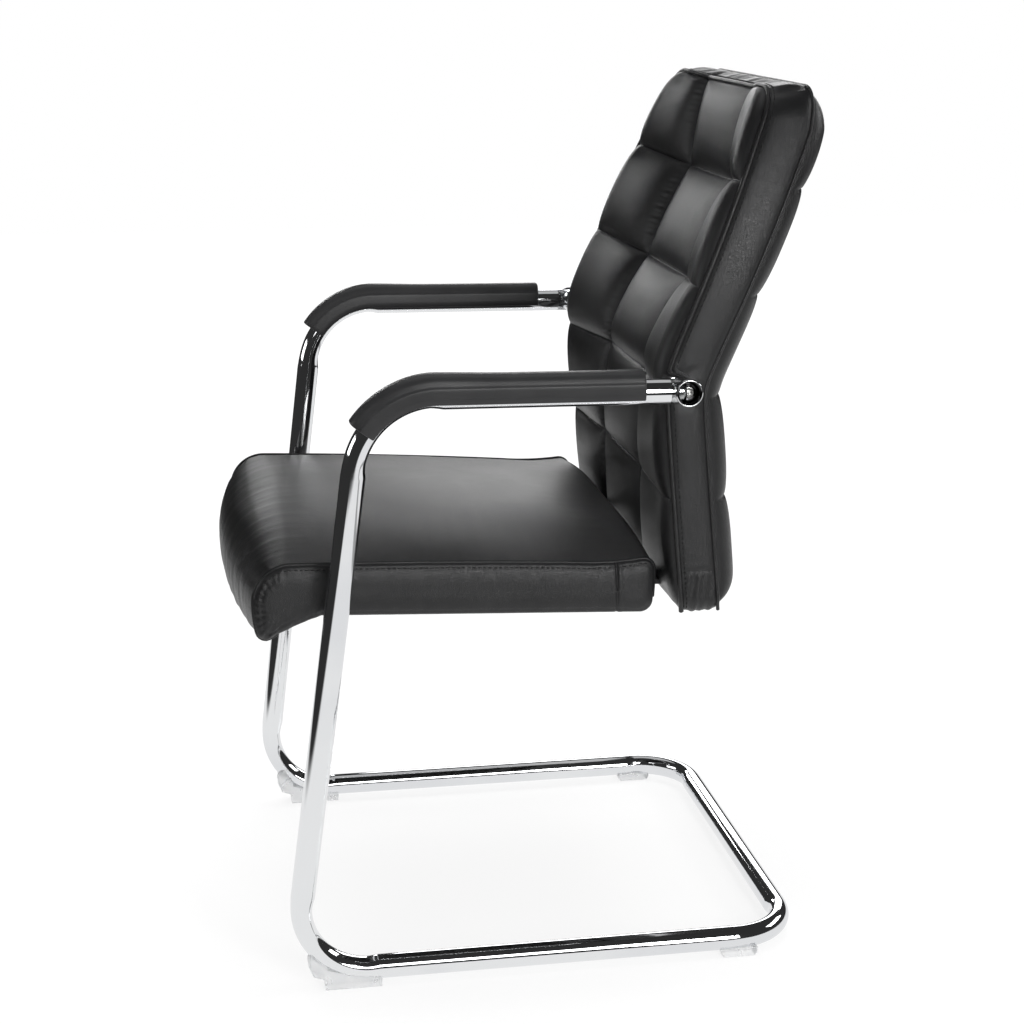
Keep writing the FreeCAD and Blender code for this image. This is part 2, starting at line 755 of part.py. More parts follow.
def build():
    parts = {}
    outer_tube = swept_tube(frame_path(), tube_od / 2)
    bore = swept_tube(frame_path(), tube_od / 2 - tube_wall)
    bosses = both_sides(make_boss())
    boss_slugs = [rod(boss_od / 2, V(s * 200, arm_rear.y, arm_rear.z), V(s * 400, arm_rear.y, arm_rear.z))
                  for s in (1, -1)]
    frame = outer_tube.cut(bore).cut(group(boss_slugs))
    frame = max(frame.Solids, key=lambda s: s.Volume)
    for hole in screw_holes():
        frame = frame.cut(group(both_sides(hole)))

    pad = make_arm_pad(outer_tube)
    screws = make_pad_screws(frame)
    for screw in screws:
        pad = pad.cut(screw)
    pads = both_sides(pad)
    screws = screws + [s.mirror(V(0, 0, 0), V(1, 0, 0)) for s in screws]
    front_glides = both_sides(make_glide(front_glide_y, front_glide_height, True, outer_tube))
    rear_glides = both_sides(make_glide(rear_glide_y, rear_glide_height, False, outer_tube))

    bar_fixings, seat_fixings, back_fixings = fixings()
    bar = make_cross_bar(outer_tube)
    bar_plates = make_bar_plates()
    bar_bolts = [f.bolt() for f in bar_fixings]
    shanks = group([rod(bolt_d / 2, f.seat - f.d * 20, f.seat + f.d * 60) for f in bar_fixings])
    bar = bar.cut(shanks)
    bar_plates = [p.cut(shanks) for p in bar_plates]
    brackets = [bracket_solid(bracket_x), bracket_solid(-bracket_x)]
    drill = group([rod(bolt_d / 2, f.seat - f.d * 1, f.seat + f.d * 40)
                   for f in seat_fixings + back_fixings])
    brackets = [b.cut(drill) for b in brackets]
    seat_nuts = [f.tee_nut() for f in bar_fixings + seat_fixings]
    back_nuts = [f.tee_nut() for f in back_fixings]
    seat_bolts = [f.bolt() for f in seat_fixings]
    back_bolts = [f.bolt() for f in back_fixings]
    strap = make_strap()
    weld_nuts = both_sides(make_weld_nut())
    arm_bolts = both_sides(make_arm_bolt())

    seat_board = seated(make_seat_board()).cut(group(bar_bolts + seat_bolts + seat_nuts))
    base_cloth = seated(make_base_cloth())
    seat_body = seated(make_seat_body().cut(seat_pocket()).cut(bar_notch()))
    seat_body = seat_body.cut(group(seat_nuts + bar_bolts)).cut(group(brackets))
    side_band = seated(make_side_band().cut(bar_notch()))
    cord = seated(make_seat_cord())
    side_bands = both_sides(side_band)
    cords = both_sides(cord)

    inside = outline_prism(cover_t)
    before_board = side_slab(front_line(-60.0), rear_line(-rear_skin - back_board_t))
    behind_board = side_slab(rear_line(-rear_skin), rear_line(60.0))
    front_pad = make_front_tufts().common(inside).common(before_board)
    rear_pad = make_rear_channels().common(inside).common(behind_board)
    back_board = make_back_board().cut(strap).cut(group(back_nuts + back_bolts))
    steel = group([strap] + list(weld_nuts) + list(arm_bolts) + brackets + back_bolts)
    front_pad = front_pad.cut(steel)
    rear_pad = rear_pad.cut(group(back_nuts + back_bolts))
    band = make_back_band().cut(group(arm_bolts)).cut(group(brackets))
    front_cord = make_back_cord(front_line, -1)
    rear_cord = make_back_cord(rear_line, 1)
    front_pad = front_pad.cut(front_cord)
    rear_pad = rear_pad.cut(rear_cord)

    parts["frame_tube"] = frame
    parts["arm_boss_left"], parts["arm_boss_right"] = bosses
    parts["cross_bar"] = bar
    parts["cross_bar_plates"] = group(bar_plates)
    parts["front_glide_left"], parts["front_glide_right"] = front_glides
    parts["rear_glide_left"], parts["rear_glide_right"] = rear_glides
    parts["arm_pad_left"], parts["arm_pad_right"] = pads
    parts["arm_pad_screws"] = group(screws)
    parts["arm_bolts"] = group(arm_bolts)
    parts["back_strap"] = strap
    parts["strap_nuts"] = group(weld_nuts)
    parts["back_board"] = back_board
    parts["back_front_pad"] = front_pad
    parts["back_rear_pad"] = rear_pad
    parts["back_band"] = band
    parts["back_front_piping"] = front_cord
    parts["back_rear_piping"] = rear_cord
    parts["seat_board"] = seat_board
    parts["seat_cushion"] = seat_body
    parts["seat_band_left"], parts["seat_band_right"] = side_bands
    parts["seat_piping_left"], parts["seat_piping_right"] = cords
    parts["seat_base_cloth"] = base_cloth
    parts["seat_bracket_left"], parts["seat_bracket_right"] = brackets
    parts["cross_bar_bolts"] = group(bar_bolts)
    parts["seat_bracket_bolts"] = group(seat_bolts)
    parts["back_bracket_bolts"] = group(back_bolts)
    parts["seat_tee_nuts"] = group(seat_nuts)
    parts["back_tee_nuts"] = group(back_nuts)
    return parts


def main():
    os.makedirs("parts", exist_ok=True)
    for name, shape in build().items():
        solids = shape.Solids
        shape = solids[0] if len(solids) == 1 else Part.makeCompound(solids)
        shape.translate(V(0, -origin_y, 0))
        box = shape.BoundBox
        print(name, len(solids), shape.isValid(), round(shape.Volume / 1000, 1),
              [round(v, 1) for v in (box.XMin, box.XMax, box.YMin, box.YMax, box.ZMin, box.ZMax)])
        shape.exportStep("parts/" + name + ".step")


main()
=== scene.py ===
import json
import math
import bpy
import bmesh
import numpy as np
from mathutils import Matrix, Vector


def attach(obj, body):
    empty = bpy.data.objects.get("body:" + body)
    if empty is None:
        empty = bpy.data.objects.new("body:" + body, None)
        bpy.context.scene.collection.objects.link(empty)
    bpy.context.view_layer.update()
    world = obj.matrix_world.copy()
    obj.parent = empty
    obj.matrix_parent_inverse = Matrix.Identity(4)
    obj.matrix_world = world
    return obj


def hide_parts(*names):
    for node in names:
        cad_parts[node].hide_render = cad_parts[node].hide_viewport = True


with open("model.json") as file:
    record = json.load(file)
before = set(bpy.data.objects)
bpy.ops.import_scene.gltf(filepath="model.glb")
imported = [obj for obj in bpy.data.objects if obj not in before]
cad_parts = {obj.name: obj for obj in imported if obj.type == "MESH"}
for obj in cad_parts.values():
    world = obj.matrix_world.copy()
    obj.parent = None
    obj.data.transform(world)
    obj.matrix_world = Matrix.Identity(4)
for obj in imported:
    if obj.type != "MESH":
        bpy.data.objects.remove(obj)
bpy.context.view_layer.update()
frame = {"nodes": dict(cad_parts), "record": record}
print("frame loaded with", len(frame["nodes"]), "nodes")

# The chair is drawn in mm. Its drawing's zero lies this far in front of the frame's origin.
drawingShift = (0.0, 58.3, 0.0)
bothSides = ((1, "Left"), (-1, "Right"))


def linked(name, data):
    holder = bpy.data.objects.new(name, data)
    bpy.context.scene.collection.objects.link(holder)
    return holder


def rawPiece(name, points, faces, edges=()):
    mesh = bpy.data.meshes.new(name)
    points = (np.asarray(points, float).reshape(-1, 3) - drawingShift) / 1000.0
    mesh.from_pydata(points.tolist(), list(edges), faces)
    mesh.update()
    return linked(name, mesh)


def settle(piece, slotName, *nodes):
    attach(piece, "root")
    if nodes:
        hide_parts(*nodes)
    return piece


def newPiece(name, points, faces, slotName, *nodes, smooth=True):
    # a piece in its slot's finish, with doubles merged and faces turned outwards
    piece = rawPiece(name, points, faces)
    mesh = piece.data
    mesh.materials.append(finishes[slotName])
    mesh.polygons.foreach_set("use_smooth", [smooth] * len(mesh.polygons))
    shell = bmesh.new()
    shell.from_mesh(mesh)
    bmesh.ops.remove_doubles(shell, verts=shell.verts, dist=1e-6)
    bmesh.ops.recalc_face_normals(shell, faces=shell.faces)
    shell.to_mesh(mesh)
    shell.free()
    return settle(piece, slotName, *nodes)


def pointsOf(piece):
    # a piece's points as they are drawn, in mm
    flat = np.empty(3 * len(piece.data.vertices))
    piece.data.vertices.foreach_get("co", flat)
    return flat.reshape(-1, 3) * 1000.0 + drawingShift


def gridFaces(rows, cols, loopRows=False, loopCols=False):
    faces = []
    for i in range(rows if loopRows else rows - 1):
        k = (i + 1) % rows
        for j in range(cols if loopCols else cols - 1):
            m = (j + 1) % cols
            faces.append((i * cols + j, i * cols + m, k * cols + m, k * cols + j))
    return faces


def tubeFaces(rows, cols):
    # rings joined into a tube, with a face over each end
    last = (rows - 1) * cols
    return gridFaces(rows, cols, False, True) + [tuple(range(cols)), tuple(range(last, last + cols))]


def unit(v):
    return v / np.linalg.norm(v)


def unitRows(v):
    return v / np.maximum(np.linalg.norm(v, axis=-1, keepdims=True), 1e-9)


def tangentsOf(path, loop=False):
    if loop:
        return unitRows(np.roll(path, -1, 0) - np.roll(path, 1, 0))
    return unitRows(np.gradient(path, axis=0))


def runAlong(path):
    # how far along the path each point lies
    return np.concatenate([[0], np.cumsum(np.linalg.norm(np.diff(path, axis=0), axis=1))])


def resampled(path, step, loop=False):
    path = np.asarray(path, float)
    if loop:
        path = np.vstack([path, path[:1]])
    run = runAlong(path)
    at = np.linspace(0, run[-1], max(int(round(run[-1] / step)), 2) + 1)
    if loop:
        at = at[:-1]
    return np.stack([np.interp(at, run, line) for line in path.T], axis=1)


def tubeGrid(path, across, third, radius, sides, bump=None):
    # rings round a path; bump gives each ring's change of radius for a direction
    angle = (np.arange(sides) * 2 * math.pi / sides)[:, None]
    out = np.cos(angle) * across[:, None, :] + np.sin(angle) * third[:, None, :]
    r = np.broadcast_to(np.asarray(radius, float).reshape(-1, 1), (len(path), sides))
    if bump is not None:
        r = r + bump(out)
    return path[:, None, :] + out * r[:, :, None]


def cordPiece(name, path, radius, slotName, *nodes, loop=False, sides=10, lean=(0, 1, 0)):
    # a round cord, closed or with its ends drawn to a point
    along = tangentsOf(path, loop)
    across = unitRows(np.cross(along, np.asarray(lean, float)))
    points = tubeGrid(path, across, np.cross(along, across), radius, sides).reshape(-1, 3)
    rows = len(path)
    faces = gridFaces(rows, sides, loop, True)
    if not loop:
        points = np.vstack([points, path[0] - along[0] * radius * 0.7, path[-1] + along[-1] * radius * 0.7])
        first, end = rows * sides, (rows - 1) * sides
        faces += [(first, (j + 1) % sides, j) for j in range(sides)]
        faces += [(first + 1, end + j, end + (j + 1) % sides) for j in range(sides)]
    return newPiece(name, points, faces, slotName, *nodes)


def arcThrough(a, b, c, count):
    # points of the arc from a over b to c, without the last one, in 2D
    a, b, c = (np.asarray(p, float) for p in (a, b, c))
    squares = [np.dot(b, b) - np.dot(a, a), np.dot(c, c) - np.dot(a, a)]
    centre = np.linalg.solve(np.array([b - a, c - a]) * 2, squares)
    turn = [math.atan2(*(p - centre)[::-1]) for p in (a, b, c)]
    total = (turn[2] - turn[0]) % (2 * math.pi)
    if (turn[1] - turn[0]) % (2 * math.pi) > total:
        total -= 2 * math.pi
    angle = turn[0] + total * np.arange(count) / count
    return centre + np.linalg.norm(a - centre) * np.column_stack([np.cos(angle), np.sin(angle)])


def smoothStep(x, low, high):
    t = np.clip((np.asarray(x, float) - low) / (high - low), 0, 1)
    return t * t * (3 - 2 * t)


def bell(x, middle, width):
    return np.exp(-((x - middle) / width) ** 2)


def swelling(share, power):
    # a rounded rise from 0 to 1
    return np.sqrt(np.clip(1 - (1 - np.clip(share, 0, 1)) ** power, 0, 1))


def pillowShare(t, power):
    # a rounded rise and fall between 0 and 1
    return np.sqrt(np.clip(1 - np.abs(2 * t - 1) ** power, 0, 1))


def ripple(x, wave, seed=0.0):
    # an uneven ripple between -1 and 1
    turn = 2 * math.pi * np.asarray(x, float) / wave
    parts = ((0.55, 1.0, 1.0), (0.3, 1.63, 2.1), (0.15, 0.61, 3.7))
    return sum(size * np.sin(turn / length + shift * seed) for size, length, shift in parts)


def spacing(count, gather=0.5):
    # shares from 0 to 1, closer together at both ends
    t = np.linspace(0, 1, count)
    return (1 - gather) * t + gather * (0.5 - 0.5 * np.cos(math.pi * t))


# Nodes and materials

def addNode(tree, kind, inputs=None, **settings):
    # each input takes a plain value, or a link from a socket or from a node's first output
    node = tree.nodes.new(kind)
    for key, value in settings.items():
        setattr(node, key, value)
    for key, value in (inputs or {}).items():
        if isinstance(value, bpy.types.Node):
            value = value.outputs[0]
        if isinstance(value, bpy.types.NodeSocket):
            tree.links.new(value, node.inputs[key])
        else:
            node.inputs[key].default_value = value
    return node


def mathNode(tree, operation, first, second):
    return addNode(tree, "ShaderNodeMath", {0: first, 1: second}, operation=operation)


def objectPlace(tree):
    return addNode(tree, "ShaderNodeTexCoord").outputs["Object"]


def newGroup(name, kind, inputs, outputs):
    # a node group with its sockets: a number is an input's standard value, a word a socket's type
    tree = bpy.data.node_groups.new(name, kind)
    for way, sockets in (("INPUT", inputs), ("OUTPUT", outputs)):
        for key, value in sockets.items():
            typed = isinstance(value, str)
            sort = "NodeSocket" + (value if typed else type(value).__name__.capitalize())
            socket = tree.interface.new_socket(key, in_out=way, socket_type=sort)
            if not typed:
                socket.default_value = value
    return tree, addNode(tree, "NodeGroupInput").outputs


def grainGroup():
    # leather-like grain: small pebbles with creases between them, over a slow unevenness
    values = {"Pebble Scale": 900.0, "Wave Scale": 14.0, "Wave Share": 0.5}
    tree, given = newGroup("leatherGrain", "ShaderNodeTree", values, {"Height": "Float", "Tone": "Float"})
    place = objectPlace(tree)
    pebbles = addNode(tree, "ShaderNodeTexVoronoi", {"Vector": place, "Scale": given["Pebble Scale"]},
                      feature="DISTANCE_TO_EDGE")
    crease = addNode(tree, "ShaderNodeMapRange", {"From Max": 0.25, "Value": pebbles})
    waves = addNode(tree, "ShaderNodeTexNoise", {"Vector": place, "Scale": given["Wave Scale"], "Detail": 3.0})
    height = mathNode(tree, "ADD", crease, mathNode(tree, "MULTIPLY", waves, given["Wave Share"]))
    addNode(tree, "NodeGroupOutput", {"Height": height, "Tone": waves})
    return tree


def cloudGroup():
    # slow clouds between two values, for a finish that isn't even
    values = {"Scale": 20.0, "Low": 0.2, "High": 0.4}
    tree, given = newGroup("finishClouds", "ShaderNodeTree", values, {"Value": "Float"})
    clouds = addNode(tree, "ShaderNodeTexNoise", {"Vector": objectPlace(tree), "Scale": given["Scale"],
                                                  "Detail": 4.0})
    spread = addNode(tree, "ShaderNodeMapRange", {"From Min": 0.3, "From Max": 0.7, "Value": clouds,
                                                  "To Min": given["Low"], "To Max": given["High"]})
    addNode(tree, "NodeGroupOutput", {"Value": spread})
    return tree


leatherGrain = grainGroup()
finishClouds = cloudGroup()


def placeClouds(tree, scale, low, high):
    return addNode(tree, "ShaderNodeGroup", {"Scale": scale, "Low": low, "High": high}, node_tree=finishClouds)


def patternOf(tree, kind, *values):
    # the sockets that a finish's tone and its relief follow
    if kind == "grain":
        look = dict(zip(("Pebble Scale", "Wave Scale", "Wave Share"), values))
        grain = addNode(tree, "ShaderNodeGroup", look, node_tree=leatherGrain)
        return grain.outputs["Tone"], grain.outputs["Height"]
    if kind == "clouds":
        return placeClouds(tree, *values, 0.0, 1.0).outputs["Value"], None
    stretch, scale, detail = values
    place = addNode(tree, "ShaderNodeMapping", {"Vector": objectPlace(tree), "Scale": stretch})
    fibres = addNode(tree, "ShaderNodeTexNoise", {"Vector": place, "Scale": scale, "Detail": detail})
    return fibres.outputs[0], fibres.outputs[0]


def newFinish(name, pattern, dark, light, rough, relief=None, **sockets):
    # rough gives the clouds in the roughness, and relief its strength and its depth in m
    material = bpy.data.materials.new(name)
    material.use_nodes = True
    tree = material.node_tree
    shader = tree.nodes["Principled BSDF"].inputs
    for key, value in sockets.items():
        shader[key.replace("_", " ")].default_value = value
    tone, height = patternOf(tree, *pattern)
    ramp = addNode(tree, "ShaderNodeValToRGB", {"Fac": tone})
    for end, position, shade in zip(ramp.color_ramp.elements, (0.3, 0.7), (dark, light)):
        end.position = position
        end.color = (*shade, 1)
    tree.links.new(ramp.outputs["Color"], shader["Base Color"])
    tree.links.new(placeClouds(tree, *rough).outputs["Value"], shader["Roughness"])
    if relief:
        bump = addNode(tree, "ShaderNodeBump", {"Strength": relief[0], "Distance": relief[1], "Height": height})
        tree.links.new(bump.outputs["Normal"], shader["Normal"])
    return material


def darkenCups(material):
    # painted shade: the plating is painted near-black inside a bolt's cup, standing in for the shade in that
    # recess
    tree = material.node_tree
    colour = tree.nodes["Principled BSDF"].inputs["Base Color"]
    paintedShade = addNode(tree, "ShaderNodeAttribute", attribute_name="cupShadeMask").outputs["Fac"]
    mix = addNode(tree, "ShaderNodeMixRGB", {"Fac": paintedShade, "Color1": colour.links[0].from_socket,
                                             # the painted shade's colour
                                             "Color2": (0.035, 0.035, 0.037, 1)})
    tree.links.new(mix.outputs["Color"], colour)
    return material


thread = newFinish("blackThread", ("clouds", 400.0), (0.006, 0.006, 0.006), (0.016, 0.016, 0.016),
                   (300.0, 0.55, 0.75), Specular_IOR_Level=0.3)
finishes = {
    "black_leatherette": newFinish(
        "blackLeatherette", ("grain", 950.0, 16.0, 0.8), (0.006, 0.006, 0.0065), (0.011, 0.011, 0.0115),
        (9.0, 0.29, 0.37), (0.35, 0.00027), Specular_IOR_Level=0.5),
    # chrome, with painted shade inside the bolt cups
    "chrome": darkenCups(newFinish(
        "chromePlate", ("clouds", 6.0), (0.80, 0.81, 0.83), (0.86, 0.87, 0.88), (30.0, 0.035, 0.075),
        Metallic=1.0)),
    "arm_pad_black": newFinish(
        "armPadPlastic", ("grain", 1500.0, 20.0, 0.2), (0.018, 0.018, 0.019), (0.025, 0.025, 0.026),
        (14.0, 0.36, 0.44), (0.12, 0.0002), Specular_IOR_Level=0.45),
    "clear_glide": newFinish(
        "clearGlide", ("clouds", 60.0), (0.93, 0.94, 0.95), (0.98, 0.985, 0.99), (80.0, 0.25, 0.35),
        Transmission_Weight=0.6, IOR=1.46, Specular_IOR_Level=0.5),
    "zinc_steel": newFinish(
        "zincedSteel", ("clouds", 120.0), (0.62, 0.62, 0.61), (0.78, 0.78, 0.77), (90.0, 0.18, 0.32),
        Metallic=1.0),
    "black_steel": newFinish(
        "blackedSteel", ("grain", 2200.0, 40.0, 0.3), (0.02, 0.02, 0.021), (0.035, 0.035, 0.036),
        (50.0, 0.4, 0.55), (0.2, 0.0001), Specular_IOR_Level=0.5),
    "plywood": newFinish(
        "plywoodSheet", ("fibres", (6.0, 60.0, 60.0), 3.0, 6.0), (0.42, 0.29, 0.16), (0.62, 0.46, 0.28),
        (30.0, 0.55, 0.7), (0.15, 0.0003), Specular_IOR_Level=0.35),
    "base_cloth": newFinish(
        "linerCloth", ("fibres", (1.0, 1.0, 1.0), 600.0, 5.0), (0.012, 0.012, 0.012), (0.03, 0.03, 0.03),
        (200.0, 0.8, 0.95), (0.4, 0.0003), Specular_IOR_Level=0.2),
}
for subpart in frame["record"]["subparts"]:
    nodeMesh = frame["nodes"][subpart["node"]].data
    nodeMesh.materials.clear()
    nodeMesh.materials.append(finishes[subpart["material_slot"]])
print("materials ready")


# Cloth

sheetCloth = {"quality": 7, "mass": 0.1, "tension_stiffness": 12, "compression_stiffness": 12,
              "bending_stiffness": 0.6, "use_pressure": True, "uniform_pressure_force": 2.0,
              "vertex_group_mass": "sewn"}
clothFrames = 20


def clothMove(grid, pinned, cap):
    # inflates a sewn sheet between its pinned seams, and gives how far each point moves, in mm
    rows, cols = grid.shape[:2]
    trial = rawPiece("sewnTrial", grid, gridFaces(rows, cols))
    start = pointsOf(trial)
    sewn = trial.vertex_groups.new(name="sewn")
    sewn.add([int(i) for i in np.flatnonzero(pinned)], 1.0, "REPLACE")
    modifier = trial.modifiers.new("cloth", "CLOTH")
    for key, value in sheetCloth.items():
        setattr(modifier.settings, key, value)
    modifier.settings.effector_weights.gravity = 0
    modifier.collision_settings.use_collision = False
    modifier.point_cache.frame_start = 1
    modifier.point_cache.frame_end = clothFrames
    scene = bpy.context.scene
    for step in range(1, clothFrames + 1):
        scene.frame_set(step)
    move = pointsOf(trial.evaluated_get(bpy.context.evaluated_depsgraph_get())) - start
    scene.frame_set(1)
    bpy.data.objects.remove(trial)
    far = np.linalg.norm(move, axis=1, keepdims=True)
    print("  cloth moved up to", round(float(far.max()), 1), "mm, on average", round(float(far.mean()), 1))
    return (move * np.minimum(1.0, cap / np.maximum(far, 1e-6))).reshape(rows, cols, 3)


def spreadOver(move, rowsAt, colsAt, rowsTo, colsTo):
    # the coarse sheet's movement at the fine sheet's shares
    wide = np.array([[np.interp(colsTo, colsAt, line) for line in row.T] for row in move])
    tall = np.array([[np.interp(rowsTo, rowsAt, line) for line in part.T] for part in wide.transpose(1, 0, 2)])
    return tall.transpose(2, 1, 0)


# Frame tube

tubeShape = {"radius": 12.5, "armHalf": 283.4, "railHalf": 249.0, "armFront": (-117.0, 628.9),
             "armRear": (200.0, 625.0), "railHeight": 18.0, "railFront": -196.1, "railRear": 341.1,
             "bends": (80.0, 72.0, 65.0), "innerDent": 2.0, "outerDent": 0.9, "dentRun": 7.0,
             "sides": 40, "bendStep": 4.0, "straightStep": 40, "endGap": 17.5, "endRound": 4.0,
             "neckRadius": 8.0, "neckRun": 2.4}


def tubeCorners():
    s = tubeShape
    left = [(s["armHalf"], *s["armRear"]), (s["armHalf"], *s["armFront"]),
            (s["railHalf"], s["railFront"], s["railHeight"]), (s["railHalf"], s["railRear"], s["railHeight"])]
    right = [(-x, y, z) for x, y, z in reversed(left)]
    return np.array(left + right, float), s["bends"] + s["bends"][::-1]


def bentPath(corners, radii):
    # points along straight runs and bends, with each point's inward direction and share of bend
    rows = []
    dent = tubeShape["dentRun"]

    def straight(a, b, fromBend, toBend):
        length = np.linalg.norm(b - a)
        even = np.linspace(0, length, max(int(length / tubeShape["straightStep"]), 2))
        at = np.unique(np.concatenate([even, np.linspace(0, dent, 6), np.linspace(length - dent, length, 6)]))
        for d in at[:-1]:
            near, gap = (fromBend, d) if d < length / 2 else (toBend, length - d)
            rows.append((*(a + (b - a) * d / length), *near, 0.5 * (1 - smoothStep(gap, 0, dent))))

    start, heading = corners[0], np.zeros(3)
    for before, corner, after, radius in zip(corners, corners[1:], corners[2:], radii):
        dIn, dOut = unit(corner - before), unit(after - corner)
        half = math.acos(np.dot(dIn, dOut)) / 2
        reach = radius * math.tan(half)
        arcIn = corner - dIn * reach
        centre = corner + unit(dOut - dIn) * radius / math.cos(half)
        sideIn = (centre - arcIn) / radius
        straight(start, arcIn, heading, sideIn)
        count = int(2 * half * radius / tubeShape["bendStep"]) + 2
        for k in range(count):
            angle = 2 * half * k / count
            spoke = -sideIn * math.cos(angle) + dIn * math.sin(angle)
            gap = min(angle, 2 * half - angle) * radius
            rows.append((*(centre + spoke * radius), *-spoke, 0.5 + 0.5 * smoothStep(gap, 0, dent)))
        start = corner + dOut * reach
        heading = (centre - start) / radius
    straight(start, corners[-1], heading, np.zeros(3))
    rows.append((*corners[-1], 0, 0, 0, 0))
    rows = np.array(rows, float)
    return rows[:, :3], rows[:, 3:6], rows[:, 6]


def carriedFrames(path, first):
    # two directions square to the path, carried along it without twist
    along = tangentsOf(path)
    across = np.zeros_like(path)
    side = np.asarray(first, float)
    for i, t in enumerate(along):
        side = unit(side - t * np.dot(side, t))
        across[i] = side
    return across, np.cross(along, across)


def makeFrameTube():
    s = tubeShape
    corners, radii = tubeCorners()
    path, inward, share = bentPath(corners, radii)
    for end, inner in ((0, 1), (-1, -2)):
        path[end] = corners[end] + unitRows(corners[inner] - corners[end]) * s["endGap"]
    run = runAlong(path)
    keep = (run > s["endGap"]) & (run < run[-1] - s["endGap"])
    keep[[0, -1]] = True
    path, inward, share = path[keep], inward[keep], share[keep]
    # the ends are rounded over and drawn into a welded neck
    turns = np.linspace(0, math.pi / 2, 7)[1:]
    ahead = np.append(s["endRound"] * np.sin(turns), s["endRound"] + s["neckRun"])[:, None]
    sizes = np.append(s["neckRadius"] + (s["radius"] - s["neckRadius"]) * np.cos(turns), s["neckRadius"])
    first, last = (path[end] + unitRows(corners[end] - path[end]) * ahead for end in (0, -1))
    radius = np.concatenate([sizes[::-1], np.full(len(path), s["radius"]), sizes])
    path = np.vstack([first[::-1], path, last])
    inward = np.pad(inward, ((len(sizes), len(sizes)), (0, 0)))
    share = np.pad(share, len(sizes))

    def dent(out):
        facing = np.einsum("rsk,rk->rs", out, inward)
        inner = np.clip(facing, 0, 1) ** 2 * s["innerDent"]
        outer = np.clip(-facing, 0, 1) ** 2 * s["outerDent"]
        return -(inner + outer) * share[:, None]

    across, third = carriedFrames(path, (1, 0, 0))
    grid = tubeGrid(path, across, third, radius, s["sides"], dent)
    newPiece("frameTube", grid, tubeFaces(len(path), s["sides"]), "chrome", "frame_tube")


makeFrameTube()
print("frame tube bent")


# Lathe-turned pieces across the arms' ends

def turned(name, profile, sides, slotName, *nodes, facets=()):
    # a profile of (x, radius) turned about an arm's rear end; facets are the rows of a six-sided recess
    y, z = tubeShape["armRear"]
    angle = np.arange(sides) * 2 * math.pi / sides
    rings = []
    for i, (x, r) in enumerate(profile):
        size = np.full(sides, r)
        if i in facets:
            size = r / np.cos((angle + math.pi / 6) % (math.pi / 3) - math.pi / 6)
        rings.append(np.column_stack([np.full(sides, x), y + size * np.cos(angle), z + size * np.sin(angle)]))
    return newPiece(name, rings, tubeFaces(len(profile), sides), slotName, *nodes)


bossShape = {"radius": 13.5, "mouth": 12.0, "cupRadius": 10.4, "cupDepth": 11.0, "face": 296.9, "inner": 232.0,
             "core": 3.0, "edge": 0.9, "sides": 72}
boltShape = {"headRadius": 6.6, "headHeight": 5.2, "shank": 4.0, "shankRun": 12, "socket": 2.1, "sides": 48}


def makeBosses():
    b, t = bossShape, boltShape
    arm = tubeShape["armRear"]
    face, inner, radius, e, cup = b["face"], b["inner"], b["radius"], b["edge"], b["cupRadius"]
    shank, head, socket = t["shank"], t["headRadius"], t["socket"]
    floor = face - b["cupDepth"]
    top = floor + t["headHeight"]
    outside = [(inner, b["core"]), (inner, radius - 2), (inner + 3, radius), (face - e, radius),
               (face - e * 0.3, radius - e * 0.3), (face, radius - e), (face, b["mouth"] + 0.3)]
    hollow = [(face - 0.2, b["mouth"]), (face - 1.0, cup + 0.3), (face - 1.5, cup), (floor + 2.5, cup),
              (floor + 0.7, cup - 0.8), (floor, cup - 2.6), (floor, b["core"])]
    bolt = [(floor - t["shankRun"], shank), (floor - 0.3, shank), (floor - 0.3, head), (floor + 1.6, head),
            (floor + 3.0, head - 0.35), (top - 0.9, head - 0.6), (top - 0.25, head - 1.2), (top, head - 1.6),
            (top, head - 1.8), (top, head - 2.4), (top, socket + 0.6), (top, socket + 0.3),
            (top - 0.35, socket), (top - 3.0, socket - 0.1)]
    recess = (len(bolt) - 2, len(bolt) - 1)
    for side, word in bothSides:
        profile = [(x * side, r) for x, r in outside + hollow]
        piece = turned("armBoss" + word, profile, b["sides"], "chrome", "arm_boss_" + word.lower())
        x, y, z = pointsOf(piece).T
        # the boss's points inside its cup, where the plating gets painted shade
        cupShadeMask = (np.hypot(y - arm[0], z - arm[1]) < b["mouth"] + 0.1) & (np.abs(x) > floor - 1)
        marks = piece.data.attributes.new("cupShadeMask", "FLOAT", "POINT")
        marks.data.foreach_set("value", cupShadeMask.astype(np.float32))
        turned("armBolt" + word, [(x * side, r) for x, r in bolt], t["sides"], "zinc_steel",
               *(["arm_bolts"] if side == 1 else []), facets=recess)


makeBosses()

weldShape = {"ring": 7.6, "bead": 1.4, "sink": 0.6, "ripples": 11, "count": 60}


def makeWelds():
    # the bead where each rounded tube end is welded to its boss
    w = weldShape
    armY, armZ = tubeShape["armRear"]
    turn = np.arange(w["count"]) * 2 * math.pi / w["count"]
    ring = w["ring"] + 0.35 * np.sin(w["ripples"] * turn) + 0.25 * np.sin(5 * turn + 1)
    bead = w["bead"] + 0.25 * np.sin(17 * turn)
    y = armY - bossShape["radius"] + w["sink"] - np.sin(turn) ** 2
    for side, word in bothSides:
        x = side * tubeShape["armHalf"] + ring * np.cos(turn)
        path = np.column_stack([x, y, armZ + ring * np.sin(turn)])
        cordPiece("armWeld" + word, path, bead, "chrome", loop=True)


makeWelds()
print("bosses, bolts and welds turned")


# Arm pads

armPad = {"rearY": 155.0, "bendAngle": 55.0, "halfWidth": 15.6, "crown": 21.6, "crease": 11.0, "creaseLip": 0.9,
          "skirt": -5.0, "gap": 13.2, "step": 9, "ends": 4, "endShrink": 0.10, "endRun": 1.6,
          "swell": 1.6, "swellAt": -5, "swellRun": 45}


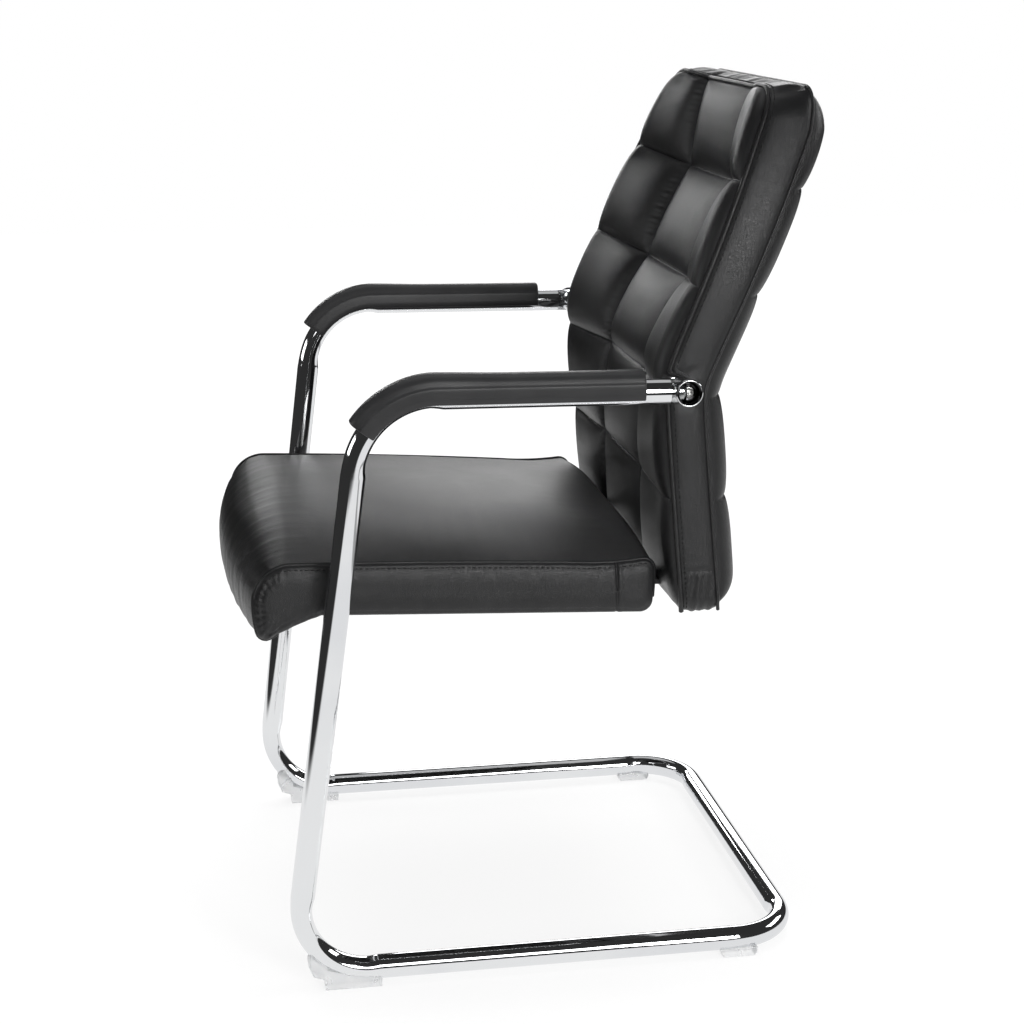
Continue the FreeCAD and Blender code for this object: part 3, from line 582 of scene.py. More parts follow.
def padSection(swell):
    # half of the cap's section, from its inner lower edge over the side to the top's middle
    p = armPad
    w, skirt, crease, crown = p["halfWidth"], p["skirt"], p["crease"], p["crown"]
    return [(w - 3.0, skirt), (w - 0.6, skirt), (w, skirt + 0.8), (w + 0.15, 2.0), (w, 8.0),
            (w - 0.1, crease - 0.8), (w - 0.3, crease), (w - 1.1, crease + p["creaseLip"]),
            (w - 1.9, crease + 2.6), (w - 2.8, crease + 5.2 + swell * 0.5),
            (w - 4.4, crown - 3.0 + swell * 0.8), (w - 6.8, crown - 1.2 + swell),
            (w - 10.0, crown - 0.3 + swell), (3.0, crown + 0.2 + swell)]


def padStations():
    # places along the arm and round its front bend, each with its upward direction and its distance
    corners, radii = tubeCorners()
    rear, front, foot = corners[:3]
    along, down = unitRows(rear - front), unitRows(foot - front)
    side = -unitRows(np.cross(along, down))
    up = unitRows(np.cross(side, along))
    start = front + along * radii[0] * math.tan((math.pi - math.acos(np.dot(along, down))) / 2)
    centre = start - up * radii[0]
    length = (armPad["rearY"] - start[1]) / along[1]
    stations = [(start + along * d, up, d) for d in np.linspace(length, 0, int(length / armPad["step"]))]
    for angle in np.radians(np.linspace(0, armPad["bendAngle"], 22)[1:]):
        out = up * math.cos(angle) - along * math.sin(angle)
        stations.append((centre + out * radii[0], out, -angle * radii[0]))
    return stations, side


def padGrid():
    p = armPad
    stations, side = padStations()
    last = len(stations) - 1
    inside = [(-p["gap"] * math.cos(t), max(p["gap"] * math.sin(t), p["skirt"] + 0.01))
              for t in np.linspace(-0.3, math.pi + 0.3, 15)]
    rings = []
    for i in range(-p["ends"], last + 1 + p["ends"]):
        k = min(max(i, 0), last)
        place, out, d = stations[k]
        section = padSection(p["swell"] * bell(d, p["swellAt"], p["swellRun"]))
        ring = section + [(-x, z) for x, z in reversed(section)] + inside
        points = np.array([place + side * x + out * z for x, z in ring])
        if i != k:   # the rounded ends
            turn = abs(i - k) / p["ends"] * math.pi / 2
            ahead = unitRows(place - stations[1 if i < 0 else last - 1][0])
            middle = place + out * 6.0
            points = middle + (points - middle) * (1 - p["endShrink"] * (1 - math.cos(turn)))
            points = points + ahead * p["endRun"] * math.sin(turn)
        rings.append(points)
    return np.array(rings), len(inside)


def makeArmPads():
    grid, inner = padGrid()
    rows, sides = grid.shape[:2]
    outer = sides - inner
    faces = gridFaces(rows, sides, False, True)

    def facing(j):
        return outer + min(int(j / (outer - 2) * (inner - 1) + 0.5), inner - 1)

    for base in (0, (rows - 1) * sides):   # the cut ends, as quads between the cap's outside and inside
        for j in range(outer - 1):
            a, b, c, e = (base + k for k in (j, j + 1, facing(outer - 2 - j), facing(outer - 1 - j)))
            faces.append((a, b, c) if c == e else (a, b, c, e))
    for side, word in bothSides:
        piece = newPiece("armPad" + word, grid * (side, 1, 1), faces, "arm_pad_black", "arm_pad_" + word.lower())


makeArmPads()
print("arm pads moulded")


# Glides

glideShape = {"half": 11.0, "frontY": (-164.0, -105.0), "sideHeight": 13.5, "rearY": (262.0, 296.0),
              "rearHeight": 9.0, "edge": 1.2}


def makeGlide(name, outline, x, node):
    half, edge = glideShape["half"], glideShape["edge"]
    rim = np.array(outline, float)
    inwards = unitRows(rim.mean(axis=0) - rim)
    rings = [np.column_stack([np.full(len(rim), x + across), rim + inwards * inset])
             for across, inset in ((-half, edge), (edge - half, 0.0), (half - edge, 0.0), (half, edge))]
    newPiece(name, rings, tubeFaces(len(rings), len(rim)), "clear_glide", node, smooth=False)


def makeGlides():
    # outlines as (y, z); the front glide has a raised lobe at its front
    g = glideShape
    (y0, y1), (r0, r1), low, high = g["frontY"], g["rearY"], g["sideHeight"], g["rearHeight"]
    front = [(y1, 0), (y1, low), (y0 + 30, low + 1), (y0 + 2, low + 8), (y0 - 1, 36), (y0 - 4, 47),
             *arcThrough((y0 - 4, 47), (y0 - 12, 46), (y0 - 16, 36), 6)[1:],
             (y0 - 17, 28), (y0 - 12, 16), (y0 - 1.5, 12), (y0, 0)]
    rear = [(r1, 0), (r1 + 3, 4), (r1 + 3, high), (r0 - 3, high), (r0 - 3, 4), (r0, 0)]
    for side, word in bothSides:
        makeGlide("frontGlide" + word, front, side * tubeShape["railHalf"], "front_glide_" + word.lower())
        makeGlide("rearGlide" + word, rear, side * tubeShape["railHalf"], "rear_glide_" + word.lower())


makeGlides()
print("glides moulded")


# Back

back = {"halfWidth": 238.0, "bottom": 385.0, "top": 907.0, "taperFrom": 700.0, "taperPower": 1.8,
        "shoulderX": 206.0, "shoulderZ": 863.0, "topCorner": 46.0, "bottomCorner": 14.0,
        "frontWaist": (189.0, 632.7), "frontSlopes": (-0.0926, 0.43), "frontBend": 150.0,
        "rearWaist": (227.8, 616.0), "rearSlopes": (-0.1, 0.455), "rearBend": 100.0,
        "crownZ": 866.0, "crownTurn": -0.255, "crownBend": 60.0,
        "frontRows": (388.0, 504.0, 607.0, 717.0, 819.0, 906.0), "columnX": 90.0,
        "rearRows": (388.0, 500.0, 606.0, 707.0, 810.0, 904.0)}


def knee(z, at, before, after, bend):
    # two straight runs that meet at a height, with a bend between them
    half = abs(math.atan(after) - math.atan(before)) / 2
    reach = 2 * bend * (1 / math.cos(half) - 1) / abs(after - before)
    d = np.asarray(z, float) - at
    return before * d + (after - before) * 0.5 * (d + np.sqrt(d * d + reach * reach))


def frontSeamY(z):
    y, at = back["frontWaist"]
    return y + knee(z, at, *back["frontSlopes"], back["frontBend"])


def rearSeamY(z):
    y, at = back["rearWaist"]
    waist = y + knee(z, at, *back["rearSlopes"], back["rearBend"])
    return waist + knee(z, back["crownZ"], 0.0, back["crownTurn"], back["crownBend"])


def taperOf():
    # how much the back narrows to its shoulders, over what height, and how steeply at their end
    narrowing, height = back["halfWidth"] - back["shoulderX"], back["shoulderZ"] - back["taperFrom"]
    return narrowing, height, back["taperPower"] * narrowing / height


def cornerOf():
    # the round top corner: its centre's x, where it starts and its radius
    b = back
    lean = taperOf()[2]
    turn = b["topCorner"]
    reach = turn * math.tan((math.pi / 2 - math.atan(lean)) / 2)
    vertex = b["shoulderX"] - lean * (b["top"] - b["shoulderZ"])
    return vertex - reach, b["top"] - reach * math.cos(math.atan(lean)), turn


def halfWidthAt(z, inset=0.0):
    b = back
    z = np.asarray(z, float)
    narrowing, height, lean = taperOf()
    share = np.clip((z - b["taperFrom"]) / height, 0, 1)
    w = b["halfWidth"] - narrowing * share ** b["taperPower"] - lean * np.maximum(z - b["shoulderZ"], 0)
    middle, low, turn = cornerOf()
    w = np.where(z > low, middle + np.sqrt(np.clip(turn ** 2 - (z - b["top"] + turn) ** 2, 0, None)), w)
    low = np.clip((b["bottom"] + b["bottomCorner"] - z) / b["bottomCorner"], 0, 1)
    return w - b["bottomCorner"] * (1 - np.sqrt(1 - low ** 2)) - inset


def behindFront(z):
    # the direction square to the front seam line, into the back, as its y and z parts
    z = np.asarray(z, float)
    slope = frontSeamY(z + 0.5) - frontSeamY(z - 0.5)
    size = np.sqrt(1 + slope * slope)
    return 1 / size, -slope / size


def backLoop(step=3.0):
    # the back's outline from the front, anticlockwise from the bottom's middle, as (x, z)
    b = back
    corner = b["bottomCorner"]
    _, low, turn = cornerOf()
    topTurns = np.linspace(math.asin(low / turn - b["top"] / turn + 1), math.pi / 2, 24)
    z = np.concatenate([b["bottom"] + corner * (1 - np.cos(np.linspace(0, math.pi / 2, 12)))[1:],
                        np.linspace(b["bottom"] + corner, low, 60)[1:],
                        b["top"] - turn + turn * np.sin(topTurns)[1:]])
    foot = [[0.0, b["bottom"]], [b["halfWidth"] - corner, b["bottom"]]]
    right = np.vstack([foot, np.column_stack([halfWidthAt(z), z])])
    return resampled(np.vstack([right, (right[::-1] * (-1, 1))[:-1]]), step, loop=True)


def loopWithoutFoot(step, drop):
    # the outline from one lower end over the top to the other, with a short tail at each end
    loop = backLoop(step)
    path = loop[loop[:, 1] > back["bottom"] + 5]
    start = int(np.argmin(path[:, 1] + (path[:, 0] < 0) * 1000))
    path = np.roll(path, -start, axis=0)
    return np.vstack([path[0] + (-1.0, -drop), path, path[-1] + (1.0, -drop)])


def outwards(path, loop=False):
    # outward directions of the outline in its own plane
    run = tangentsOf(path, loop)
    return np.column_stack([run[:, 1], -run[:, 0]])


tufts = {"seamDepths": (0.5, 3.0, 17.0, 28.5, 33.0, 12.0), "seamCrest": (2.0, 5.5, 4.5, 5.0, 1.5, 2.5),
         "crest": 12.0, "crestInset": 22.0, "fill": (0.75, 1.0, 1.0, 1.0, 1.0), "middleRise": 8.0,
         "seamLift": 3.0, "valleyRise": 7.0, "valleyRun": 6.0, "alongPower": 2.25,
         "puckerWave": 5.8, "puckerRun": 7.0, "pucker": 1.2, "cross": 0.45, "slow": 0.4,
         "columnPoints": 40, "rowPoints": 64, "trialPoints": 13, "inset": 2.2, "cap": 1.5}


def tuftDepth(x, w, valley, proud, swell):
    # a cut across the tufts: how far behind the front seam line each point lies
    t = tufts
    column = back["columnX"]
    fromEdge = w - np.abs(x)
    fromValley = np.abs(np.abs(x) - column)
    fall = np.clip((fromEdge - t["crestInset"]) / np.maximum(w - column - t["crestInset"], 10.0), 0, 1)
    side = -proud * swelling(fromEdge / t["crestInset"], 2.3) + (valley + proud) * fall
    ease = 1 - np.exp(-fromValley / t["valleyRun"])
    side = side - (1.0 + t["valleyRise"] * swell) * ease * smoothStep(fall, 0.0, 0.8)
    middle = valley - (1.0 + t["middleRise"] * swell) * pillowShare((x + column) / (2 * column), 2.6)
    return np.where(np.abs(x) <= column, middle, side)


def tuftWidth(z):
    return halfWidthAt(np.minimum(z, back["top"] - 1.2), tufts["inset"])


def frontEdge(x, z, shift=(0.0, 0.0)):
    # where the border strip meets the front tufts; the top seam sinks back between the front corners
    dip = tuftDepth(x, tuftWidth(z), tufts["seamDepths"][-1], tufts["seamCrest"][-1], 0.0)
    dip = np.maximum(dip, 0) * smoothStep(z, 890, 905)
    behindY, behindZ = behindFront(z)
    outX, outZ = np.transpose(shift)
    return np.stack([x + outX, frontSeamY(z) + dip * behindY, z + dip * behindZ + outZ], axis=-1)


def rearEdge(x, z, shift=(0.0, 0.0)):
    outX, outZ = np.transpose(shift)
    return np.stack([x + outX, rearSeamY(z), z + outZ], axis=-1)


def cellShare(value, seams):
    # which cell a value lies in, and its share of the way across it
    seams = np.asarray(seams, float)
    cell = np.clip(np.searchsorted(seams, value, side="right") - 1, 0, len(seams) - 2)
    share = (value - seams[cell]) / (seams[cell + 1] - seams[cell])
    return cell, np.clip(share, 0, 1)


def gathered(points, seams, gather):
    # places between seams, closer together at each seam
    parts = [low + (high - low) * spacing(points, gather) for low, high in zip(seams, seams[1:])]
    return np.unique(np.round(np.concatenate(parts), 9))


def tuftSurface(shares, z, detail=True):
    # the shares run from 0 to 3: one whole number for each column
    t = tufts
    share, zLine = np.meshgrid(shares, z)
    w = tuftWidth(zLine)
    column = back["columnX"]
    x = np.where(share < 1, -w + (w - column) * share,
                 np.where(share > 2, column + (w - column) * (share - 2), column * (2 * share - 3)))
    row, v = cellShare(zLine, back["frontRows"])
    swell = pillowShare(v, t["alongPower"]) * np.array(t["fill"])[row]
    valley = np.interp(zLine, back["frontRows"], t["seamDepths"]) - t["seamLift"] * swell
    seamCrest = np.interp(zLine, back["frontRows"], t["seamCrest"])
    proud = seamCrest + np.maximum(t["crest"] - seamCrest, 0) * swell
    depth = tuftDepth(x, w, valley, proud, swell)
    if detail:
        rim = np.clip((w - np.abs(x)) / t["crestInset"], 0, 1)
        offSeam = pillowShare(v, 2.0)
        fromValley = np.abs(np.abs(x) - column)
        gathers = 0.55 + 0.45 * np.sin(zLine / 37.0 + 2 * row)
        fold = ripple(zLine + 0.15 * fromValley, t["puckerWave"], 1.3)
        near = bell(fromValley, 5.0, t["puckerRun"]) * np.clip(fromValley / 1.5, 0, 1)
        near = near * np.where(np.abs(x) > column, 1.0, 0.4)
        cross = ripple(x, 17.0, 0.4) * np.exp(-np.minimum(v, 1 - v) * 100 / 7.0)
        slow = np.sin(x / 61.0 + zLine / 47.0) + np.sin(zLine / 83.0 - x / 39.0 + 1.0)
        depth = depth - t["pucker"] * fold * gathers * near * offSeam
        depth = depth - (t["cross"] * cross * offSeam + t["slow"] * slow * swell) * rim
    behindY, behindZ = behindFront(zLine)
    return np.stack([x, frontSeamY(zLine) + depth * behindY, zLine + depth * behindZ], axis=2)


def sewnGrid(surface, rows, coarse, fine, pinned, cap, flip=1):
    # a pad's surface, moved as the cloth of a coarse sheet moves between its pinned seams
    shares, heights = coarse
    trial = surface(shares, heights, detail=False)
    sewn = np.zeros(trial.shape[:2], bool)
    sewn[:, pinned] = True
    sewn[np.min(np.abs(heights[:, None] - np.array(rows)), axis=1) < 1e-6, :] = True
    move = clothMove(trial[:, ::flip], sewn, cap)[:, ::flip]
    return surface(*fine) + spreadOver(move, heights, shares, fine[1], fine[0])


def padPiece(name, grid, depths, node):
    # a curved sheet closed at its back: a wall round its edge, as deep as each row says, then strips across
    rows, cols = grid.shape[:2]
    rim = [(0, j) for j in range(cols)] + [(i, cols - 1) for i in range(1, rows)]
    rim += [(rows - 1, j) for j in range(cols - 2, -1, -1)] + [(i, 0) for i in range(rows - 2, 0, -1)]
    wall = np.array([grid[i, j] + (0, depths[i], 0) for i, j in rim])
    index = {place: rows * cols + k for k, place in enumerate(rim)}
    faces = gridFaces(rows, cols)
    for a, b in zip(rim, rim[1:] + rim[:1]):
        faces.append((a[0] * cols + a[1], b[0] * cols + b[1], index[b], index[a]))
    for i in range(1, rows - 2):
        faces.append((index[(i, 0)], index[(i, cols - 1)], index[(i + 1, cols - 1)], index[(i + 1, 0)]))
    for end, beside in ((0, 1), (rows - 1, rows - 2)):
        faces.append([index[(end, j)] for j in range(cols)] + [index[(beside, cols - 1)], index[(beside, 0)]])
    piece = newPiece(name, np.vstack([grid.reshape(-1, 3), wall]), faces, "black_leatherette", node)


def makeFrontPad():
    t = tufts
    rows, columns = back["frontRows"], range(4)
    coarse = [gathered(t["trialPoints"], seams, 0.2) for seams in (columns, rows)]
    fine = gathered(t["columnPoints"], columns, 0.55), gathered(t["rowPoints"], rows, 0.5)
    onSeam = np.abs(coarse[0] - np.round(coarse[0])) < 1e-6
    grid = sewnGrid(tuftSurface, rows, coarse, fine, onSeam, t["cap"])
    behind = np.interp(fine[1], rows, t["seamDepths"]) * 1.12 + 4.0
    padPiece("backFrontPad", grid, behind, "back_front_pad")


makeFrontPad()
print("front tufts sewn")

channels = {"rise": 28.0, "seamRise": 21.5, "edge": 44.0, "edgePower": 2.3, "columns": 120, "rowPoints": 34,
            "trialColumns": 49, "trialPoints": 11, "inset": 2.2, "bow": 3.0, "detail": 0.4, "cap": 2.0,
            "shellDepth": -2.8}


def channelSurface(shares, z, detail=True):
    c = channels
    rows = back["rearRows"]
    share, zAt = np.meshgrid(shares, z)
    v = cellShare(zAt, rows)[1]
    w = halfWidthAt(zAt, c["inset"])
    x = share * w
    edge = swelling((w - np.abs(x)) / c["edge"], c["edgePower"])
    fade = swelling((rows[-1] - zAt) / (rows[-1] - rows[-2]), 3) * swelling((zAt - rows[0]) / 30, 2.5)
    seamRise = c["seamRise"] + (c["rise"] - c["seamRise"]) * pillowShare(v, 2.6)
    y = rearSeamY(zAt) + seamRise * fade * edge + c["bow"] * (1 - share ** 2) * fade
    if detail:
        cross = ripple(x, 21.0, 2.0) * np.exp(-np.minimum(v, 1 - v) * 100 / 8.0)
        y = y + c["detail"] * (cross + np.sin(x / 67.0 + zAt / 51.0)) * edge * fade
    return np.stack([x, y, zAt], axis=2)


def makeRearPad():
    c = channels
    rows = back["rearRows"]
    coarse = np.linspace(-1, 1, c["trialColumns"]), gathered(c["trialPoints"], rows, 0.2)
    fine = 2 * spacing(c["columns"], 0.6) - 1, gathered(c["rowPoints"], rows, 0.5)
    grid = sewnGrid(channelSurface, rows, coarse, fine, (0, 1, -2, -1), c["cap"], flip=-1)
    padPiece("backRearPad", grid, np.full(len(grid), c["shellDepth"]), "back_rear_pad")


makeRearPad()
print("rear channels sewn")

border = {"step": 2.6, "across": 24, "bulge": 6.5, "thick": 3.5, "hemZ": 428.0, "hem": 1.0, "pleat": 1.3,
          "bossDent": 3.0, "bossReach": 24.0, "bossFold": 0.7, "topWrinkle": 1.5}


def borderLift(x, z, y, c):
    # how far the border strip stands out from the outline
    b = border
    middle = np.clip(4 * c * (1 - c), 0, 1)
    onSide = smoothStep(np.abs(x), 140, 200)
    bossY, bossZ = tubeShape["armRear"]
    r = np.sqrt((y - bossY) ** 2 + (z - bossZ) ** 2)
    turn = np.arctan2(z - bossZ, y - bossY)
    lift = b["bulge"] * pillowShare(c, 2.4) * (1 - 0.35 * smoothStep(-z, -600, -480) * onSide)
    lift = lift - onSide * b["bossDent"] * bell(r, 0, b["bossReach"]) * middle
    lift = lift + onSide * b["bossFold"] * np.sin(7 * turn + 0.6) * bell(r, 20, 7) * middle
    low = 1 - smoothStep(z, b["hemZ"] - 8, b["hemZ"])
    lift = lift + b["pleat"] * low * ripple(y + 0.12 * (b["hemZ"] - z), 9.5, 0.8) * middle
    lift = lift - b["hem"] * bell(z, b["hemZ"], 1.6) * onSide * np.sqrt(middle)
    high = smoothStep(z, 893, 905)
    return lift * (1 - 0.5 * high) + high * b["topWrinkle"] * ripple(x + 0.5 * y, 27.0, 0.3) * middle


def borderPoints(x, z, out, c, extra=0.0):
    # the strip's points at a share c of its way from the front to the rear
    front, rear = frontEdge(x, z), rearEdge(x, z)
    c = np.asarray(c, float)
    base = front + (rear - front) * (c[:, None] if c.ndim else c)
    base[:, ::2] += out * (borderLift(x, z, base[:, 1], c) + extra)[:, None]
    return base


def makeBorder():
    b = border
    loop = backLoop(b["step"])
    out = outwards(loop, True)
    x, z = loop.T
    rings = [borderPoints(x, z, out, c) for c in spacing(b["across"], 0.4)]
    rings += [edge(x, z, -out * b["thick"]) for edge in (rearEdge, frontEdge)]
    faces = gridFaces(len(rings), len(loop), True, True)
    newPiece("backBorder", rings, faces, "black_leatherette", "back_band")


makeBorder()
print("border strip laid")

piping = {"frontRadius": 2.6, "rearRadius": 1.9, "tail": 7.0, "stand": 1.2, "step": 3.0}


def makeBackPiping():
    p = piping
    path = loopWithoutFoot(p["step"], p["tail"])
    x, z = path.T
    for edge, word in ((frontEdge, "front"), (rearEdge, "rear")):
        line = edge(x, z, outwards(path) * p["stand"])
        cordPiece("back" + word.capitalize() + "Piping", line, p[word + "Radius"], "black_leatherette",
                  "back_" + word + "_piping")


makeBackPiping()
print("back piping laid")


# Seat, drawn in its own plane: t runs rearwards, n upwards from the underside

seat = {"tilt": -3.12, "underside": 392.0, "edgeHalf": 235.0, "edgeAt": -190.0, "fanLength": 6150.0,
        "cord": 5.0, "bandHeight": 52.5, "front": -226.0, "rear": 184.0, "crown": 24.0, "bow": 23.0,
        "lipDrop": 24.5, "lipRear": -158.0, "rollFoot": 14.5, "rearRise": 57.0, "rearCorner": 13.0}


def seatOutline(crown=0.0, bow=0.0, inset=0.0, fine=10):
    # the cushion's section as (t, n), clockwise from the underside's rear end
    s = seat
    half = math.sqrt(0.5)
    top = s["bandHeight"] + crown - inset
    front = s["front"] - bow + inset
    rear = s["rear"] - inset
    rearTop = s["rearRise"] + crown * 0.5 - inset
    dip = rearTop * 0.56 + top * 0.44 - 1.6 + crown * 0.13
    foot, drop, lipRear = s["rollFoot"], s["lipDrop"], s["lipRear"]
    roll = top - foot
    c = s["rearCorner"] - inset
    cut = c * (1 - half)
    lip = front + 16
    # each leg: the point that its arc passes (none on a straight one), its end, its number of points
    legs = [((rear - cut, inset + cut), (rear, inset + c), 8),
            (None, (rear, rearTop - c), 10),
            ((rear - cut, rearTop - cut), (rear - c, rearTop), 8),
            ((140, dip), (100, top + 0.5), 16),
            ((-40, top + crown * 0.1 + 1.8), (front + roll, top), 52),
            ((front + roll * (1 - half), foot + roll * half), (front, foot), 22),
            ((front + 1.3, -1.0), (front + 5, 6.5 - drop), 12),
            ((front + 8.5, 1.5 - drop + inset * 0.7), (lip - inset, inset - drop), 7),
            (((lip + lipRear) / 2, inset - drop * 0.44), (lipRear, inset), 14),
            (None, (rear - c, inset), 40)]
    start = legs[-1][1]
    points = []
    for over, end, count in legs:
        count = max(int(count * fine / 10), 2)
        if over is None:
            points.append(start + np.subtract(end, start) * (np.arange(count)[:, None] / count))
        else:
            points.append(arcThrough(start, over, end, count))
        start = end
    return np.vstack(points)


def seatPlace(x, t, n):
    # from the seat's own plane to the drawing
    turn = math.radians(seat["tilt"])
    y = t * math.cos(turn) - n * math.sin(turn)
    z = seat["underside"] + t * math.sin(turn) + n * math.cos(turn)
    return np.stack([x, y, z], axis=-1)


def seatHalfAt(t):
    return seat["edgeHalf"] * (1 - (t - seat["edgeAt"]) / seat["fanLength"])


cushion = {"across": 130, "fine": 13, "trialAcross": 41, "trialFine": 5, "crownPower": 2.6, "cap": 3.0,
           "streak": 0.8, "pull": 0.9, "lipWave": 1.1}


def cushionGrid(shares, fine):
    section = np.array([seatOutline(seat["crown"] * (1 - abs(a) ** cushion["crownPower"]),
                                    seat["bow"] * (1 - a * a), 0.0, fine) for a in shares])
    t, n = section[:, :, 0], section[:, :, 1]
    return shares[:, None] * seatHalfAt(t), t, n


def makeCushion():
    c = cushion
    coarse = np.linspace(-1, 1, c["trialAcross"])
    x, t, n = cushionGrid(coarse, c["trialFine"])
    trial = seatPlace(x, t, n)
    sewn = (n < 2.0) | (np.abs(coarse)[:, None] > 0.999) | (t > seat["rear"] - 20)
    move = clothMove(trial, sewn, c["cap"])
    shares = 2 * spacing(c["across"], 0.55) - 1
    x, t, n = cushionGrid(shares, c["fine"])
    rows, cols = t.shape
    fromMiddle = np.abs(shares)[:, None]
    nearSide = np.exp(-(1 - fromMiddle) / 0.07) * (n > 2)
    onRoll = smoothStep(-t, 150, 215) * (n > -14)
    run = runAlong(np.column_stack([t[-1], n[-1]]))
    streaks = 0.5 * ripple(x + 0.12 * n, 31.0, 0.7) + 0.35 * ripple(x - 0.2 * n, 12.0, 2.2)
    pull = c["pull"] * fromMiddle ** 6 * ripple(run + 0.3 * x, 13.0, 0.4)
    wave = c["lipWave"] * ripple(x, 37.0, 1.7) * smoothStep(-n, -8, 14) * (t < seat["lipRear"])
    slow = 0.6 * np.sin(x / 71.0 + t / 43.0) + 0.5 * np.sin(t / 61.0 - x / 37.0 + 2.0)
    calm = 1 - fromMiddle ** 8
    n = n + (slow + 0.4 * streaks * onRoll) * calm * (n > 30) + wave * calm
    t = t - (c["streak"] * streaks * onRoll * calm + pull * onRoll * nearSide) * (t < -150)
    along = [np.linspace(0, 1, count) for count in (trial.shape[1], cols)]
    grid = seatPlace(x, t, n) + spreadOver(move, coarse, along[0], shares, along[1])
    piece = newPiece("seatCushion", grid, tubeFaces(rows, cols), "black_leatherette", "seat_cushion")


makeCushion()
print("seat cushion filled")

sidePanel = {"rings": 16, "dome": 7.5, "domeRun": 22, "spineN": 24.0, "spineFront": -196.0, "spineRear": 150.0,
             "spineDrop": 16, "seamT": (142.0, 146.0), "seamWidth": 1.3}


def panelPoints(outline, share):
    # points of a side panel: share 0 is its sewn rim and 1 its middle line
    p = sidePanel
    t, n = outline.T
    spine = np.column_stack([np.clip(t, p["spineFront"], p["spineRear"]),
                             p["spineN"] - p["spineDrop"] * smoothStep(-t, 150, 215)])
    flat = outline + (spine - outline) * np.reshape(share, (-1, 1)) * 0.985
    gap = np.linalg.norm(flat - outline, axis=1)
    atFront = smoothStep(-t, 165, 205)
    lowFront = smoothStep(-t, 120, 170) * (n < 10)
    lift = p["dome"] * swelling(gap / p["domeRun"], 2.2)
    lift = lift + 0.45 * ripple(t, 23.0, 1.1) * bell(gap, 8, 7)
    lift = lift + 0.4 * atFront * ripple(runAlong(outline), 8.5, 0.5) * bell(gap, 6, 5)
    lift = lift - 1.1 * atFront * bell(gap, 8.5, 1.4) - 0.5 * (1 - atFront) * bell(gap, 4.6, 1.2)
    lift = lift + 1.3 * lowFront * ripple(t, 15.0, 0.2) * bell(gap, 6, 8)
    seamLow, seamHigh = p["seamT"]
    seamAt = seamLow + (seamHigh - seamLow) * (1 - flat[:, 1] / seat["bandHeight"])
    offSeam = flat[:, 0] - seamAt
    lift = lift - 1.6 * bell(offSeam, 0, p["seamWidth"]) + 0.5 * bell(offSeam, 4, 2.5)
    return seatPlace(seatHalfAt(flat[:, 0]) + seat["cord"] - 1.0 + lift, flat[:, 0], flat[:, 1]), gap


def panelRim():
    # the outline, finer where the panel's rear seam crosses it
    outline = seatOutline(fine=24)
    seamAt = sum(sidePanel["seamT"]) / 2
    rim = []
    for a, b in zip(outline, np.roll(outline, -1, axis=0)):
        near = min(abs(a[0] - seamAt), abs(b[0] - seamAt)) < 9
        rim += [a + (b - a) * k / 4 for k in range(4 if near else 1)]
    return np.array(rim)


def makeSidePanels():
    rings = sidePanel["rings"]
    rim = panelRim()
    grid = np.array([seatPlace(seatHalfAt(rim[:, 0]) + 0.5, *rim.T)]
                    + [panelPoints(rim, np.full(len(rim), (k / rings) ** 1.7))[0] for k in range(rings + 1)])
    for side, word in bothSides:
        newPiece("seatPanel" + word, grid * (side, 1, 1), tubeFaces(*grid.shape[:2]), "black_leatherette",
                 "seat_band_" + word.lower())


makeSidePanels()

seatCord = {"radius": 2.5, "step": 3.0, "inset": 0.6, "firstPoint": 18}


def makeSeatPiping():
    s = seatCord
    outline = seatOutline(inset=s["inset"], fine=20)
    t, n = outline.T
    underStart = int(np.argmax((t < seat["lipRear"]) & (n < 1) & (t > -200)))
    t, n = resampled(outline[s["firstPoint"]:underStart], s["step"]).T
    for side, word in bothSides:
        line = seatPlace((seatHalfAt(t) + seat["cord"] / 2 + 0.2) * side, t, n)
        cordPiece("seatPiping" + word, line, s["radius"], "black_leatherette",
                  "seat_piping_" + word.lower(), lean=(1, 0, 0))


makeSeatPiping()
print("seat panels and piping sewn")


# Stitches

def stitchTree():
    # short threads laid along a seam, evenly spaced, each a little longer or shorter at random
    values = {"Seam": "Geometry", "Spacing": 0.0055, "Length": 0.0038, "Thickness": 0.0009, "Wander": 0.12,
              "Seed": 4, "Finish": "Material"}
    tree, given = newGroup("seamStitches", "GeometryNodeTree", values, {"Stitches": "Geometry"})
    curve = addNode(tree, "GeometryNodeMeshToCurve", {"Mesh": given["Seam"]})
    steps = addNode(tree, "GeometryNodeResampleCurve", {"Curve": curve, "Length": given["Spacing"]}, mode="LENGTH")
    bead = addNode(tree, "GeometryNodeMeshUVSphere", {"Segments": 6, "Rings": 4, "Radius": 0.5})
    heading = addNode(tree, "GeometryNodeInputTangent")
    turn = addNode(tree, "FunctionNodeAlignRotationToVector", {"Vector": heading}, axis="Z")
    limits = {"Min": mathNode(tree, "SUBTRACT", 1.0, given["Wander"]),
              "Max": mathNode(tree, "ADD", 1.0, given["Wander"])}
    wander = addNode(tree, "FunctionNodeRandomValue", {"Seed": given["Seed"], **limits}, data_type="FLOAT")
    length = mathNode(tree, "MULTIPLY", given["Length"], wander.outputs["Value"])
    size = addNode(tree, "ShaderNodeCombineXYZ", {"X": given["Thickness"], "Y": given["Thickness"], "Z": length})
    laid = addNode(tree, "GeometryNodeInstanceOnPoints",
                   {"Points": steps, "Instance": bead, "Rotation": turn, "Scale": size})
    real = addNode(tree, "GeometryNodeRealizeInstances", {"Geometry": laid})
    finish = addNode(tree, "GeometryNodeSetMaterial", {"Geometry": real, "Material": given["Finish"]})
    addNode(tree, "NodeGroupOutput", {"Stitches": finish})
    return tree


